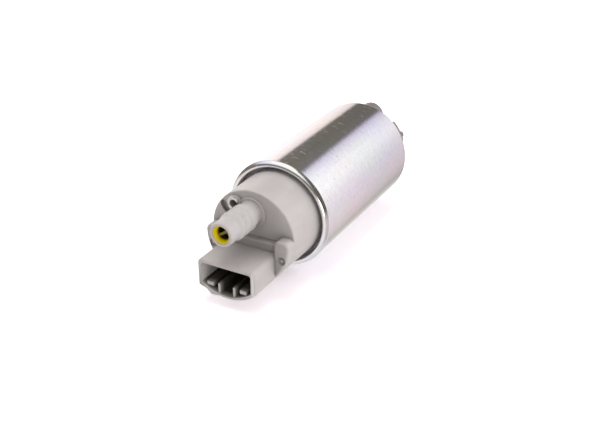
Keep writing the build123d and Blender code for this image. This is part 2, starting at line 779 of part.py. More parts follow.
# Electrical pieces that come in a left and a right one
coil_length = core_length - 2 * cradle_thickness - 2 * coil_wire_r - 4 * seat_gap
coil_front_y = core_y + cradle_thickness + coil_wire_r + 2 * seat_gap
coil_outside_r = coil_r + coil_wire_r
blade_tip_y = socket_front_y + blade_recess
blade_end_y = cap_floor_y + blade_root
foot_end_x = choke_x - coil_outside_r - seat_gap
lead_top_z = -brush_height / 2 - contact_gap
lead_drop_z = choke_z + coil_outside_r + lead_r + seat_gap
lead_end_y = lead_y - lead_reach
brush_spring_front_y = cap_floor_y + brush_spring_wire_r + contact_gap
brush_spring_rear_y = brush_rear_y - brush_spring_wire_r - contact_gap
brush_spring_length = brush_spring_rear_y - brush_spring_front_y
for side, name in ((-1, "left"), (1, "right")):
    # Terminal: a flat blade in the socket, with a foot towards the choke inside the cap
    with BuildPart() as terminal:
        with BuildSketch(station(blade_end_y)):
            with Locations((side * blade_x, blade_z)):
                Rectangle(blade_width, blade_thickness)
        extrude(amount=blade_end_y - blade_tip_y)
        chamfer(terminal.faces().sort_by(Axis.Y)[0].edges(), length=blade_chamfer)
        with BuildSketch(station(blade_end_y)):
            with Locations((side * (blade_x + foot_end_x) / 2, blade_z)):
                Rectangle(foot_end_x - blade_x, blade_thickness)
        extrude(amount=blade_foot)
    terminal.part.label = f"terminal_{name}"
    export_step(terminal.part, f"parts/terminal_{name}.step")

    # Choke core: a ferrite rod held in the cap's two cradles
    with BuildPart() as choke_core:
        with BuildSketch(station(core_y)):
            with Locations((side * choke_x, choke_z)):
                Circle(core_r)
        extrude(amount=-core_length)
        chamfer(choke_core.edges().filter_by(GeomType.CIRCLE), length=core_r / 6)
    choke_core.part.label = f"choke_core_{name}"
    export_step(choke_core.part, f"parts/choke_core_{name}.step")

    # Choke coil, wound on the core
    with BuildPart() as choke_coil:
        with BuildLine() as coil_path:
            Helix(
                coil_length / coil_turns,
                coil_length,
                coil_r,
                center=(side * choke_x, coil_front_y, choke_z),
                direction=(0, 1, 0),
            )
        with BuildSketch(Plane(origin=coil_path.line @ 0, z_dir=coil_path.line % 0)):
            Circle(coil_wire_r)
        sweep(path=coil_path.line, is_frenet=True)
    choke_coil.part.label = f"choke_coil_{name}"
    export_step(choke_coil.part, f"parts/choke_coil_{name}.step")

    # Carbon brush, which slides along its tube onto the commutator
    with BuildPart() as brush:
        with BuildSketch(station(brush_front_y)):
            with Locations((side * brush_x, 0)):
                Rectangle(brush_width, brush_height)
        extrude(amount=brush_length)
        chamfer(brush.faces().sort_by(Axis.Y)[0].edges(), length=brush_chamfer)
    brush.part.label = f"brush_{name}"
    export_step(brush.part, f"parts/brush_{name}.step")

    # Brush spring, between the cap and the brush's back end
    with BuildPart() as brush_spring:
        with BuildLine() as brush_spring_path:
            Helix(
                brush_spring_length / brush_spring_turns,
                brush_spring_length,
                brush_spring_r,
                center=(side * brush_x, brush_spring_front_y, 0),
                direction=(0, 1, 0),
            )
        with BuildSketch(
            Plane(origin=brush_spring_path.line @ 0, z_dir=brush_spring_path.line % 0)
        ):
            Circle(brush_spring_wire_r)
        sweep(path=brush_spring_path.line, is_frenet=True)
    brush_spring.part.label = f"brush_spring_{name}"
    export_step(brush_spring.part, f"parts/brush_spring_{name}.step")

    # Brush lead: braided copper from the brush, out through the tube's slot, to the choke
    with BuildPart() as brush_lead:
        with BuildLine() as lead_path:
            FilletPolyline(
                (side * brush_x, lead_y, lead_top_z),
                (side * brush_x, lead_y, lead_drop_z),
                (side * choke_x, (lead_y + lead_end_y) / 2, lead_drop_z),
                (side * choke_x, lead_end_y, lead_drop_z),
                radius=2 * lead_r,
            )
        with BuildSketch(Plane(origin=lead_path.line @ 0, z_dir=lead_path.line % 0)):
            Circle(lead_r)
        sweep(path=lead_path.line)
    brush_lead.part.label = f"brush_lead_{name}"
    export_step(brush_lead.part, f"parts/brush_lead_{name}.step")

    # Permanent magnet: an arc-shaped ferrite segment against the can's wall
    with BuildPart() as magnet:
        with BuildSketch(station(magnet_front_y)):
            with BuildLine():
                middle_angle = 90 - side * 90
                ring_sector(
                    magnet_inner_r, magnet_outer_r, middle_angle - magnet_arc / 2, magnet_arc
                )
            make_face()
        extrude(amount=magnet_front_y - magnet_rear_y)
        chamfer(magnet.edges().filter_by(Axis.Y), length=clip_thickness)
    magnet.part.label = f"magnet_{name}"
    export_step(magnet.part, f"parts/magnet_{name}.step")

# Bearings: sintered bushes, one in the cap's post and one in the pump casing
for name, bearing_y in (
    ("upper_bearing", front_bearing_y),
    ("lower_bearing", boss_front_y + seat_gap),
):
    with BuildPart() as bearing:
        with BuildSketch(station(bearing_y)):
            Circle(bearing_r)
            Circle(shaft_r + running_gap, mode=Mode.SUBTRACT)
        extrude(amount=-bearing_length)
        chamfer(bearing.edges().filter_by(GeomType.CIRCLE), length=bearing_chamfer)
    bearing.part.label = name
    export_step(bearing.part, f"parts/{name}.step")

# Armature shaft, with a flat behind the casing that drives the impeller
with BuildPart() as armature_shaft:
    with BuildSketch(station(shaft_front_y)):
        Circle(shaft_r)
    extrude(amount=shaft_front_y - shaft_rear_y)
    chamfer(armature_shaft.edges().filter_by(GeomType.CIRCLE), length=shaft_r / 5)
    with BuildSketch(station(pocket_front_y)):
        with Locations((0, shaft_flat)):
            Rectangle(4 * shaft_r, shaft_r, align=(Align.CENTER, Align.MIN))
    extrude(amount=pocket_front_y - shaft_rear_y, mode=Mode.SUBTRACT)
armature_shaft.part.label = "armature_shaft"
export_step(armature_shaft.part, "parts/armature_shaft.step")

# Lamination stack: eight teeth with shoes, on a hub
shoe_inner_r = core_radius - tooth_shoe
tooth_pitch = 360 / armature_teeth
with BuildPart() as lamination_stack:
    with BuildSketch(station(core_front_y)):
        Circle(core_radius)
        Circle(shoe_inner_r, mode=Mode.SUBTRACT)
        with PolarLocations(shoe_inner_r - tooth_shoe, armature_teeth, start_angle=tooth_pitch / 2):
            Rectangle(
                4 * tooth_shoe, tooth_opening, align=(Align.MIN, Align.CENTER), mode=Mode.SUBTRACT
            )
        with PolarLocations(0, armature_teeth):
            Rectangle(
                shoe_inner_r + tooth_shoe / 2, tooth_width, align=(Align.MIN, Align.CENTER)
            )
        Circle(core_hub_r)
        Circle(shaft_r + contact_gap, mode=Mode.SUBTRACT)
    extrude(amount=-core_stack)
lamination_stack.part.label = "lamination_stack"
export_step(lamination_stack.part, "parts/lamination_stack.step")

# Insulators: one star-shaped sheet at each end of the laminations
with BuildPart() as armature_insulators:
    for insulator_y in (core_front_y, core_rear_y + insulator_thickness):
        with BuildSketch(station(insulator_y)):
            with PolarLocations(0, armature_teeth):
                Rectangle(
                    shoe_inner_r + tooth_shoe / 2, tooth_width, align=(Align.MIN, Align.CENTER)
                )
            Circle(insulator_hub_r)
            Circle(shaft_r + contact_gap, mode=Mode.SUBTRACT)
        extrude(amount=insulator_thickness)
armature_insulators.part.label = "armature_insulators"
export_step(armature_insulators.part, "parts/armature_insulators.step")

# Windings: one wedge-shaped coil around each tooth, with its lead to the commutator
coil_start_y = core_front_y - coil_overhang
half_pitch = radians(tooth_pitch / 2)
wedge_tip = coil_side_gap / sin(half_pitch)
window_length = core_stack + 2 * (insulator_thickness + coil_tooth_gap)
with BuildPart() as armature_windings:
    with BuildSketch(station(coil_start_y)):
        with PolarLocations(0, armature_teeth):
            Polygon(
                (wedge_tip, 0),
                (wedge_tip + core_radius * cos(half_pitch), -core_radius * sin(half_pitch)),
                (wedge_tip + core_radius * cos(half_pitch), core_radius * sin(half_pitch)),
            )
        Circle(coil_outer_r, mode=Mode.INTERSECT)
        Circle(coil_inner_r, mode=Mode.SUBTRACT)
    extrude(amount=-(core_stack + 2 * coil_overhang))
    fillet(
        armature_windings.faces().filter_by(Axis.Y).edges().filter_by(GeomType.CIRCLE),
        radius=coil_overhang / 5,
    )
    with BuildSketch(station(core_front_y - insulator_thickness - coil_tooth_gap)):
        with PolarLocations(0, armature_teeth):
            Rectangle(
                core_radius,
                tooth_width + 2 * coil_tooth_gap,
                align=(Align.MIN, Align.CENTER),
            )
    extrude(amount=-window_length, mode=Mode.SUBTRACT)
    with BuildSketch(station(coil_start_y + 2 * coil_lead_r)):
        with PolarLocations(coil_outer_r - 2 * coil_lead_r, armature_teeth):
            Circle(coil_lead_r)
    extrude(amount=coil_start_y + 2 * coil_lead_r - segment_rear_y - contact_gap)
armature_windings.part.label = "armature_windings"
export_step(armature_windings.part, "parts/armature_windings.step")

# Commutator segments, each with a riser for its coil
with BuildPart() as commutator_segments:
    with BuildSketch(station(segment_rear_y)):
        Circle(commutator_r)
        Circle(commutator_inner_r, mode=Mode.SUBTRACT)
        with PolarLocations(commutator_r, segment_count):
            Rectangle(2 * riser_length, riser_width)
        with PolarLocations(0, segment_count, start_angle=180 / segment_count):
            Rectangle(
                2 * commutator_r, segment_slot, align=(Align.MIN, Align.CENTER), mode=Mode.SUBTRACT
            )
    extrude(amount=segment_thickness)
commutator_segments.part.label = "commutator_segments"
export_step(commutator_segments.part, "parts/commutator_segments.step")

# Commutator hub: a moulded disc behind the segments, with a sleeve on the shaft
with BuildPart() as commutator_hub:
    with BuildSketch(station(hub_rear_y)):
        Circle(hub_r)
        Circle(shaft_r + contact_gap, mode=Mode.SUBTRACT)
    extrude(amount=hub_thickness)
    with BuildSketch(station(segment_rear_y)):
        Circle(hub_sleeve_r)
        Circle(shaft_r + contact_gap, mode=Mode.SUBTRACT)
    extrude(amount=segment_thickness - hub_rim)
commutator_hub.part.label = "commutator_hub"
export_step(commutator_hub.part, "parts/commutator_hub.step")

# Magnet clips: two spring channels that hold the magnets apart
clip_outer_r = inner_r - seat_gap
clip_inner_r = clip_outer_r - clip_thickness
clip_half_arc = (180 - magnet_arc) / 2 - degrees(clip_side_gap / clip_inner_r)
leg_arc = degrees(clip_thickness / clip_inner_r)
with BuildPart() as magnet_clips:
    for clip_angle in (90, 270):
        with BuildSketch(station(magnet_front_y + clip_end_gap)):
            with BuildLine():
                ring_sector(
                    clip_inner_r, clip_outer_r, clip_angle - clip_half_arc, 2 * clip_half_arc
                )
            make_face()
            for leg_start in (clip_angle - clip_half_arc, clip_angle + clip_half_arc - leg_arc):
                with BuildLine():
                    ring_sector(clip_outer_r - clip_leg, clip_outer_r, leg_start, leg_arc)
                make_face()
        extrude(amount=magnet_front_y - magnet_rear_y + 2 * clip_end_gap)
magnet_clips.part.label = "magnet_clips"
export_step(magnet_clips.part, "parts/magnet_clips.step")

# Pump casing: the plate between motor and impeller, with the front bearing boss
impeller_pocket_r = impeller_r + running_gap
with BuildPart() as pump_casing:
    with BuildSketch():
        with BuildLine():
            Polyline(
                (shaft_hole_r, pocket_front_y),
                (impeller_pocket_r, pocket_front_y),
                (impeller_pocket_r, casing_rear_y),
                (flange_r, casing_rear_y),
                (flange_r, casing_front_y),
                (casing_boss_r, casing_front_y),
                (casing_boss_r, boss_front_y),
                (bearing_r + seat_gap, boss_front_y),
                (bearing_r + seat_gap, boss_front_y + bearing_length + 2 * seat_gap),
                (shaft_hole_r, boss_front_y + bearing_length + 2 * seat_gap),
                close=True,
            )
        make_face()
    revolve(axis=Axis.Y)
    with BuildSketch(radial_plane(channel_start)):
        with Locations((vane_r, pocket_front_y)):
            Circle(channel_r)
    revolve(axis=Axis.Y, revolution_arc=-channel_arc, mode=Mode.SUBTRACT)
    with BuildSketch(station(casing_rear_y)):
        SlotArc(
            CenterArc((0, 0), vane_r, channel_start + channel_arc - port_arc, port_arc), port_width
        )
    extrude(amount=casing_thickness, mode=Mode.SUBTRACT)
    with BuildSketch():
        with Locations((flange_r, casing_ring_y)):
            Rectangle(2 * (2 * ring_section_r + seat_gap), ring_groove_width)
    revolve(axis=Axis.Y, mode=Mode.SUBTRACT)
pump_casing.part.label = "pump_casing"
export_step(pump_casing.part, "parts/pump_casing.step")

# Seal ring around the pump casing
with BuildPart() as pump_seal_ring:
    with BuildSketch():
        with Locations((seat_bore_r - seat_gap - ring_section_r, casing_ring_y)):
            Circle(ring_section_r)
    revolve(axis=Axis.Y)
pump_seal_ring.part.label = "pump_seal_ring"
export_step(pump_seal_ring.part, "parts/pump_seal_ring.step")

# Impeller: a thin disc with a ring of vane pockets, driven by the shaft's flat
impeller_front_y = pocket_front_y + running_gap
with BuildPart() as impeller:
    with BuildSketch(station(impeller_front_y)):
        Circle(impeller_r)
        with PolarLocations(vane_r, vane_count):
            SlotOverall(vane_length, vane_pocket_width, mode=Mode.SUBTRACT)
        Circle(shaft_r + contact_gap, mode=Mode.SUBTRACT)
        with Locations((0, shaft_flat + contact_gap)):
            Rectangle(2 * shaft_r, shaft_r, align=(Align.CENTER, Align.MIN))
    extrude(amount=-impeller_thickness)
impeller.part.label = "impeller"
export_step(impeller.part, "parts/impeller.step")

# Intake cover: closes the pump, with the inlet nozzle, locating peg and thrust seat
nozzle_end_y = cover_rear_y + nozzle_length
rear_floor_y = cover_rear_y - rear_pocket_depth
thrust_ball_y = shaft_rear_y + contact_gap + thrust_ball_r
with BuildPart() as intake_cover:
    with BuildSketch() as cover_profile:
        with BuildLine():
            Polyline(
                (0, casing_rear_y),
                (flange_r, casing_rear_y),
                (flange_r, cover_shoulder_y),
                (cover_face_r, cover_shoulder_y),
                (cover_face_r, cover_rear_y),
                (rear_pocket_r, cover_rear_y),
                (rear_pocket_r, rear_floor_y),
                (rear_boss_r, rear_floor_y),
                (rear_boss_r, cover_rear_y + rear_boss_height),
                (0, cover_rear_y + rear_boss_height),
                close=True,
            )
        make_face()
        shoulder = cover_profile.vertices().sort_by_distance((flange_r, cover_shoulder_y))[0]
        fillet(shoulder, radius=lip_inset)
        for rim in (
            (cover_face_r, cover_rear_y),
            (rear_boss_r, cover_rear_y + rear_boss_height),
        ):
            fillet(cover_profile.vertices().sort_by_distance(rim)[0], radius=nozzle_fillet)
    revolve(axis=Axis.Y)
    with BuildSketch(station(rear_floor_y)):
        with PolarLocations(0, rear_rib_count, start_angle=180 / rear_rib_count):
            Rectangle(
                (cover_face_r + rear_pocket_r) / 2, rear_rib_width, align=(Align.MIN, Align.CENTER)
            )
    extrude(amount=rear_floor_y - cover_rear_y)
    with BuildSketch(station(rear_floor_y)):
        with Locations((nozzle_x, nozzle_z)):
            Circle(nozzle_r + nozzle_pad_width)
        Circle(cover_face_r, mode=Mode.INTERSECT)
    extrude(amount=rear_floor_y - cover_rear_y)
    with BuildSketch(station(rear_floor_y)):
        with Locations((nozzle_x, nozzle_z)):
            Circle(nozzle_r)
    extrude(amount=rear_floor_y - nozzle_end_y)
    fillet(intake_cover.faces().sort_by(Axis.Y)[-1].edges(), radius=nozzle_fillet)
    with BuildSketch(station(rear_floor_y)):
        with BuildLine():
            ring_sector(rim_rib_inner_r, cover_face_r, rim_rib_start, rim_rib_arc)
        make_face()
    extrude(amount=rear_floor_y - cover_rear_y - rim_rib_height)
    with BuildSketch(station(rear_floor_y)):
        with Locations((peg_x, peg_z)):
            Circle(peg_r + peg_pad_width)
    extrude(amount=rear_floor_y - cover_rear_y - rim_rib_height)
    with BuildSketch(station(cover_rear_y + rim_rib_height)):
        with Locations((peg_x, peg_z)):
            Circle(peg_r)
    extrude(amount=rim_rib_height - peg_length)
    with BuildSketch(station(nozzle_end_y)):
        with Locations((nozzle_x, nozzle_z)):
            Circle(nozzle_bore_r)
    extrude(amount=nozzle_length + nozzle_bore_extra, mode=Mode.SUBTRACT)
    with BuildSketch(station(rear_floor_y)):
        SlotArc(CenterArc((0, 0), vane_r, channel_start, port_arc), port_width)
    extrude(amount=rear_floor_y - casing_rear_y, mode=Mode.SUBTRACT)
    with BuildSketch(radial_plane(channel_start)):
        with Locations((vane_r, casing_rear_y)):
            Circle(channel_r)
    revolve(axis=Axis.Y, revolution_arc=-channel_arc, mode=Mode.SUBTRACT)
    with BuildSketch(station(cover_rear_y)):
        with PolarLocations(vane_r, 1, start_angle=vent_angle):
            Circle(vent_r)
    extrude(amount=cover_rear_y - casing_rear_y, mode=Mode.SUBTRACT)
    with BuildSketch(station(shaft_rear_y + thrust_pocket_clearance)):
        Circle(thrust_pocket_r)
    extrude(amount=shaft_into_cover + thrust_pocket_clearance, mode=Mode.SUBTRACT)
    with BuildSketch(station(thrust_ball_y + thrust_ball_r + contact_gap)):
        Circle(thrust_ball_r + seat_gap)
    extrude(amount=2 * thrust_ball_r, mode=Mode.SUBTRACT)
intake_cover.part.label = "intake_cover"
export_step(intake_cover.part, "parts/intake_cover.step")

# Thrust ball, which takes the shaft's end load
with BuildPart() as thrust_ball:
    with Locations((0, thrust_ball_y, 0)):
        Sphere(thrust_ball_r)
thrust_ball.part.label = "thrust_ball"
export_step(thrust_ball.part, "parts/thrust_ball.step")
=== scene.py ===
from math import cos, hypot, pi, radians, sin, sqrt, tan

import bpy
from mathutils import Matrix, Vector


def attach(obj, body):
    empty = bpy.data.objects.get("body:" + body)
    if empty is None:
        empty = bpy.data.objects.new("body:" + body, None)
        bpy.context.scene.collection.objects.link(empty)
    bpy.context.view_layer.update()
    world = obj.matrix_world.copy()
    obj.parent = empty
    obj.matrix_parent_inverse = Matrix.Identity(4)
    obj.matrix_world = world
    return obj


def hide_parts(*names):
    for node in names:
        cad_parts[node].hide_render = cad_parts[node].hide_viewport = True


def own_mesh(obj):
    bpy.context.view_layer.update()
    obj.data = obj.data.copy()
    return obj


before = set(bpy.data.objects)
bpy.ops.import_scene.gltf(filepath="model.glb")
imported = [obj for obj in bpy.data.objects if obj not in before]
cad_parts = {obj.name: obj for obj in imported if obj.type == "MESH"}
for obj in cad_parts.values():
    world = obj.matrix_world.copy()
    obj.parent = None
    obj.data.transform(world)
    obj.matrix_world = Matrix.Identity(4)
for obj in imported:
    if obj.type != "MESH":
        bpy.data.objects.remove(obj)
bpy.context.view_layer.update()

# Electric in-tank fuel pump, lying on its side on a white sweep.
# The pump's axis is Y: the outlet and the electrical socket face -Y, the inlet faces +Y.
# The origin is on the axis, half way along the can's straight wall, and Z is up.
# Sizes are named in millimetres and become metres where a piece is placed.
MM = 0.001

# Stations and radii that the pieces share
can_r = 19.0
front_y = -31.2
rear_y = 31.2
cap_face_y = -48.1
cap_face_r = 15.3
spigot_x = -0.4
spigot_z = 7.7
spigot_tip_y = -65.7

# The photograph's view, fitted to the can's front rim
frame_width = 600
frame_height = 428
focal_px = 895.9
view_elevation = radians(26.97)
view_azimuth = radians(28.96)
rim_distance = 300.4
rim_u = 279.23
rim_v = 213.35
film_width = 36
nearest_m = 0.01
farthest_m = 20


def place_camera():
    """Camera that sees the centre of the can's front rim at its place in the photograph."""
    backward = Vector((
        sin(view_azimuth) * cos(view_elevation),
        -cos(view_azimuth) * cos(view_elevation),
        sin(view_elevation),
    ))
    forward = -backward
    right = forward.cross(Vector((0, 0, 1))).normalized()
    up = right.cross(forward)
    across = (rim_u - frame_width / 2) / focal_px * rim_distance
    above = -(rim_v - frame_height / 2) / focal_px * rim_distance
    offset = forward * rim_distance + right * across + up * above
    lens = bpy.data.cameras.new("view_camera")
    lens.sensor_width = film_width
    lens.lens = focal_px / frame_width * film_width
    lens.clip_start = nearest_m
    lens.clip_end = farthest_m
    camera = bpy.data.objects.new("view_camera", lens)
    bpy.context.scene.collection.objects.link(camera)
    camera.location = (Vector((0, front_y, 0)) - offset) * MM
    camera.rotation_euler = forward.to_track_quat("-Z", "Y").to_euler()
    bpy.context.scene.camera = camera


def add_node(owner, kind, inputs=None, **settings):
    """Adds a shader node to a material or world, with its settings, values and links."""
    node = owner.node_tree.nodes.new(kind)
    for setting, value in settings.items():
        setattr(node, setting, value)
    for socket, value in (inputs or {}).items():
        if isinstance(value, bpy.types.NodeSocket):
            owner.node_tree.links.new(value, node.inputs[socket])
        else:
            node.inputs[socket].default_value = value
    return node


def remap(owner, value, low, high, to_low, to_high):
    """Output that goes from to_low to to_high as value goes from low to high."""
    inputs = {"Value": value, "From Min": low, "From Max": high, "To Min": to_low, "To Max": to_high}
    return add_node(owner, "ShaderNodeMapRange", inputs).outputs["Result"]


def mix_colours(owner, factor, first, second, blend="MIX"):
    """Colour between first and second, which may be colours or sockets."""
    node = add_node(owner, "ShaderNodeMix", {0: factor}, data_type="RGBA", blend_type=blend)
    for socket, value in ((6, first), (7, second)):
        if isinstance(value, bpy.types.NodeSocket):
            owner.node_tree.links.new(value, node.inputs[socket])
        else:
            node.inputs[socket].default_value = (*value, 1)
    return node.outputs[2]


def ramp(owner, value, low, high, stops):
    """Colour that runs through stops, given as (value, colour), between low and high."""
    node = add_node(owner, "ShaderNodeValToRGB", {"Fac": remap(owner, value, low, high, 0, 1)})
    elements = node.color_ramp.elements
    while len(elements) < len(stops):
        elements.new(0.5)
    for element, (place, colour) in zip(elements, stops):
        element.position = (place - low) / (high - low)
        element.color = (*colour, 1)
    return node.outputs["Color"]


def multiply(owner, first, second):
    """Output of first times second."""
    return add_node(owner, "ShaderNodeMath", {0: first, 1: second}, operation="MULTIPLY").outputs[0]


def add(owner, first, second):
    """Output of first plus second."""
    return add_node(owner, "ShaderNodeMath", {0: first, 1: second}, operation="ADD").outputs[0]


# What the bare steel mirrors, by the angle from +X towards +Z of a direction that leads away behind
# the pump, and by height for one that leads towards the camera's side
room_behind = (
    (-180, (1.12, 1.04, 1.02)),
    (-112, (0.84, 0.82, 0.81)),
    (-92, (0.58, 0.56, 0.53)),
    (-82, (0.50, 0.48, 0.455)),
    (-62, (0.68, 0.61, 0.62)),
    (-40, (0.765, 0.705, 0.74)),
    (-9, (0.815, 0.79, 0.87)),
    (12, (0.94, 0.93, 0.96)),
    (33, (1.08, 1.08, 1.10)),
    (50, (1.07, 1.07, 1.11)),
    (65, (0.975, 0.965, 1.055)),
    (76, (0.84, 0.81, 0.945)),
    (84, (0.64, 0.595, 0.73)),
    (88, (0.33, 0.31, 0.36)),
    (93, (0.190, 0.180, 0.175)),
    (120, (0.172, 0.162, 0.136)),
    (144, (0.190, 0.172, 0.148)),
    (152, (0.91, 0.80, 0.74)),
    (163, (1.06, 0.95, 0.89)),
    (180, (1.12, 1.04, 1.02)),
)
room_in_front = (
    (-1.0, (0.80, 0.79, 0.78)),
    (-0.35, (1.05, 1.04, 1.02)),
    (-0.12, (0.70, 0.70, 0.66)),
    (0.0, (0.20, 0.19, 0.15)),
    (0.35, (0.22, 0.21, 0.17)),
    (0.55, (0.85, 0.90, 1.10)),
    (0.8, (1.25, 1.22, 1.15)),
    (1.0, (1.25, 1.22, 1.15)),
)

# The rest of what it mirrors. A row of four numbers gives where a change starts and ends along one
# part of a direction, and the two values that it goes between
band_slant = 130
mid_can_y = 0.835
slant_reach = 0.1
near_to_far_can = (0.79, 0.87, 1.15, 0.885)
front_to_back = (0.48, 0.70, 0, 1)
dimmed_right = (0.4, 0.65, 1.0, 0.62)
dark_screen = (0.20, 0.195, 0.165)
screen_lean = 0.4
screen_edge = (0.05, 0.25, 0, 1)
screen_foot = (-0.05, 0.1, 0, 1)
lamp_direction = (0.45, -0.885, -0.08)
lamp_edge = (0.972, 0.994, 0, 1)
lamp_colour = (5.0, 5.0, 4.9)

# The light that falls on the pump and the floor
light_colour = (1.0, 0.983, 0.983)
right_strength = (-0.1, 0.9, 0.60, 2.6)
left_strength = (-1.0, -0.2, 4.4, 0.0)
left_foot = (0.05, 0.35, 0, 1)
front_strength = (-0.95, -0.25, 0.10, 1.0)
height_strength = (0.3, 0.8, 1.0, 0.45)
low_strength = (0.0, 0.45, 0.42, 1.0)
softbox_direction = (-0.05, 0.05, 0.9975)
softbox_edge = (0.965, 0.98, 0, 4.6)


def towards(owner, direction, centre):
    """How nearly a direction points to centre: 1 where it does."""
    inputs = {0: direction, 1: centre}
    return add_node(owner, "ShaderNodeVectorMath", inputs, operation="DOT_PRODUCT").outputs["Value"]


def light_room():
    """White room that lights the pump from both sides and from a softbox overhead. Bare steel mirrors
    its own picture of the room, with dark gaps in it."""
    world = bpy.data.worlds.new("studio")
    bpy.context.scene.world = world
    world.use_nodes = True
    world.node_tree.nodes.clear()
    direction = add_node(world, "ShaderNodeTexCoord").outputs["Generated"]
    parts = add_node(world, "ShaderNodeSeparateXYZ", {"Vector": direction}).outputs
    around = add_node(
        world, "ShaderNodeMath", {0: parts["Z"], 1: parts["X"]}, operation="ARCTAN2"
    ).outputs[0]
    turn = remap(world, around, -pi, pi, -180, 180)
    lean = slant_reach * band_slant
    slant = remap(world, parts["Y"], mid_can_y - slant_reach, mid_can_y + slant_reach, lean, -lean)
    behind = ramp(world, add(world, turn, slant), -180, 180, room_behind)
    nearer = remap(world, parts["Y"], *near_to_far_can)
    behind = mix_colours(world, 1, behind, nearer, "MULTIPLY")
    in_front = ramp(world, parts["Z"], -1, 1, room_in_front)
    sideways = add(world, parts["X"], multiply(world, parts["Y"], screen_lean))
    screen = multiply(world, remap(world, sideways, *screen_edge), remap(world, parts["Z"], *screen_foot))
    in_front = mix_colours(world, screen, in_front, dark_screen)
    in_front = mix_colours(world, 1, in_front, remap(world, parts["X"], *dimmed_right), "MULTIPLY")
    lamp = remap(world, towards(world, direction, lamp_direction), *lamp_edge)
    in_front = mix_colours(world, lamp, in_front, lamp_colour)
    mirrored = mix_colours(world, remap(world, parts["Y"], *front_to_back), in_front, behind)
    from_right = remap(world, parts["X"], *right_strength)
    above_foot = remap(world, parts["Z"], *left_foot)
    from_left = add(world, 1.0, multiply(world, above_foot, remap(world, parts["X"], *left_strength)))
    from_front = remap(world, parts["Y"], *front_strength)
    from_above = remap(world, parts["Z"], *height_strength)
    soft = multiply(world, multiply(world, from_right, from_left), multiply(world, from_front, from_above))
    soft = multiply(world, soft, remap(world, parts["Z"], *low_strength))
    soft = add(world, soft, remap(world, towards(world, direction, softbox_direction), *softbox_edge))
    warm = mix_colours(world, 1, light_colour, soft, "MULTIPLY")
    path = add_node(world, "ShaderNodeLightPath").outputs
    seen = mix_colours(world, path["Is Glossy Ray"], warm, mirrored)
    plain = mix_colours(world, path["Is Camera Ray"], seen, (1.0, 1.0, 1.0))
    background = add_node(world, "ShaderNodeBackground", {"Color": plain, "Strength": 1.0})
    add_node(world, "ShaderNodeOutputWorld", {"Surface": background.outputs[0]})
    bpy.context.scene.view_settings.view_transform = "Standard"


# The sheet under the can, as it lights the pump and as the camera sees it
sheet_size_m = 6
sheet_colour = (0.92, 0.90, 0.92)
seen_sheet = (1.5, 1.455, 1.51)
seen_glow = (0.03, 0.025, 0.03)


def lay_floor():
    """White sheet under the can, which keeps the pump's soft shadow. The steel mirrors the room past
    it."""
    bpy.ops.object.select_all(action="DESELECT")
    bpy.ops.mesh.primitive_plane_add(size=sheet_size_m, location=(0, 0, -can_r * MM))
    floor = bpy.context.object
    floor.name = "floor"
    paper = bpy.data.materials.new("white_sheet")
    paper.use_nodes = True
    paper.node_tree.nodes.clear()
    matt = add_node(paper, "ShaderNodeBsdfDiffuse", {"Color": (*seen_sheet, 1)})
    glow = add_node(paper, "ShaderNodeEmission", {"Color": (*seen_glow, 1), "Strength": 1.0})
    lit = add_node(paper, "ShaderNodeAddShader", {0: matt.outputs[0], 1: glow.outputs[0]})
    path = add_node(paper, "ShaderNodeLightPath").outputs
    sheet = add_node(paper, "ShaderNodeBsdfDiffuse", {"Color": (*sheet_colour, 1)})
    gone = add_node(paper, "ShaderNodeBsdfTransparent")
    mirrored = add_node(
        paper,
        "ShaderNodeMixShader",
        {0: path["Is Glossy Ray"], 1: sheet.outputs[0], 2: gone.outputs[0]},
    )
    seen = add_node(
        paper,
        "ShaderNodeMixShader",
        {0: path["Is Camera Ray"], 1: mirrored.outputs[0], 2: lit.outputs[0]},
    )
    add_node(paper, "ShaderNodeOutputMaterial", {"Surface": seen.outputs[0]})
    floor.data.materials.append(paper)


place_camera()
light_room()
lay_floor()


def new_finish(name, colour, roughness, metallic=0.0):
    """Node material with its colour, roughness and metallic values on the shader's own sockets."""
    finish = bpy.data.materials.new(name)
    finish.use_nodes = True
    shader = finish.node_tree.nodes["Principled BSDF"]
    shader.inputs["Base Color"].default_value = (*colour, 1)
    shader.inputs["Roughness"].default_value = roughness
    shader.inputs["Metallic"].default_value = metallic
    return finish


def connect(finish, socket, value):
    """Drives one of the shader's sockets by an output."""
    shader = finish.node_tree.nodes["Principled BSDF"]
    finish.node_tree.links.new(value, shader.inputs[socket])


# Nearly all values of a noise lie between these two
noise_span = (0.3, 0.7)


def place_on(finish):
    """Output with the place of a point of the piece, in the piece's own coordinates."""
    return add_node(finish, "ShaderNodeTexCoord").outputs["Object"]


def grain(finish, size, stretch=(1, 1, 1), detail=4, roughness=0.55, shift=(0, 0, 0)):
    """Noise whose features are about size millimetres, stretched by three parts."""
    scale = [1 / (size * MM * part) for part in stretch]
    inputs = {"Vector": place_on(finish), "Scale": scale, "Location": shift}
    fitted = add_node(finish, "ShaderNodeMapping", inputs).outputs["Vector"]
    inputs = {"Vector": fitted, "Scale": 1.0, "Detail": detail, "Roughness": roughness}
    return add_node(finish, "ShaderNodeTexNoise", inputs).outputs["Fac"]


def ridges(finish, direction, scale, **more):
    """Even ridges across a direction of the piece."""
    inputs = {"Vector": place_on(finish), "Scale": scale, **more}
    return add_node(finish, "ShaderNodeTexWave", inputs, bands_direction=direction).outputs["Fac"]


def raise_surface(finish, height, distance):
    """Bumps of the given height in millimetres."""
    inputs = {"Height": height, "Distance": distance * MM, "Strength": 1.0}
    connect(finish, "Normal", add_node(finish, "ShaderNodeBump", inputs).outputs["Normal"])


def shaded(colour, part):
    """A part of a colour's brightness."""
    return [part * value for value in colour]


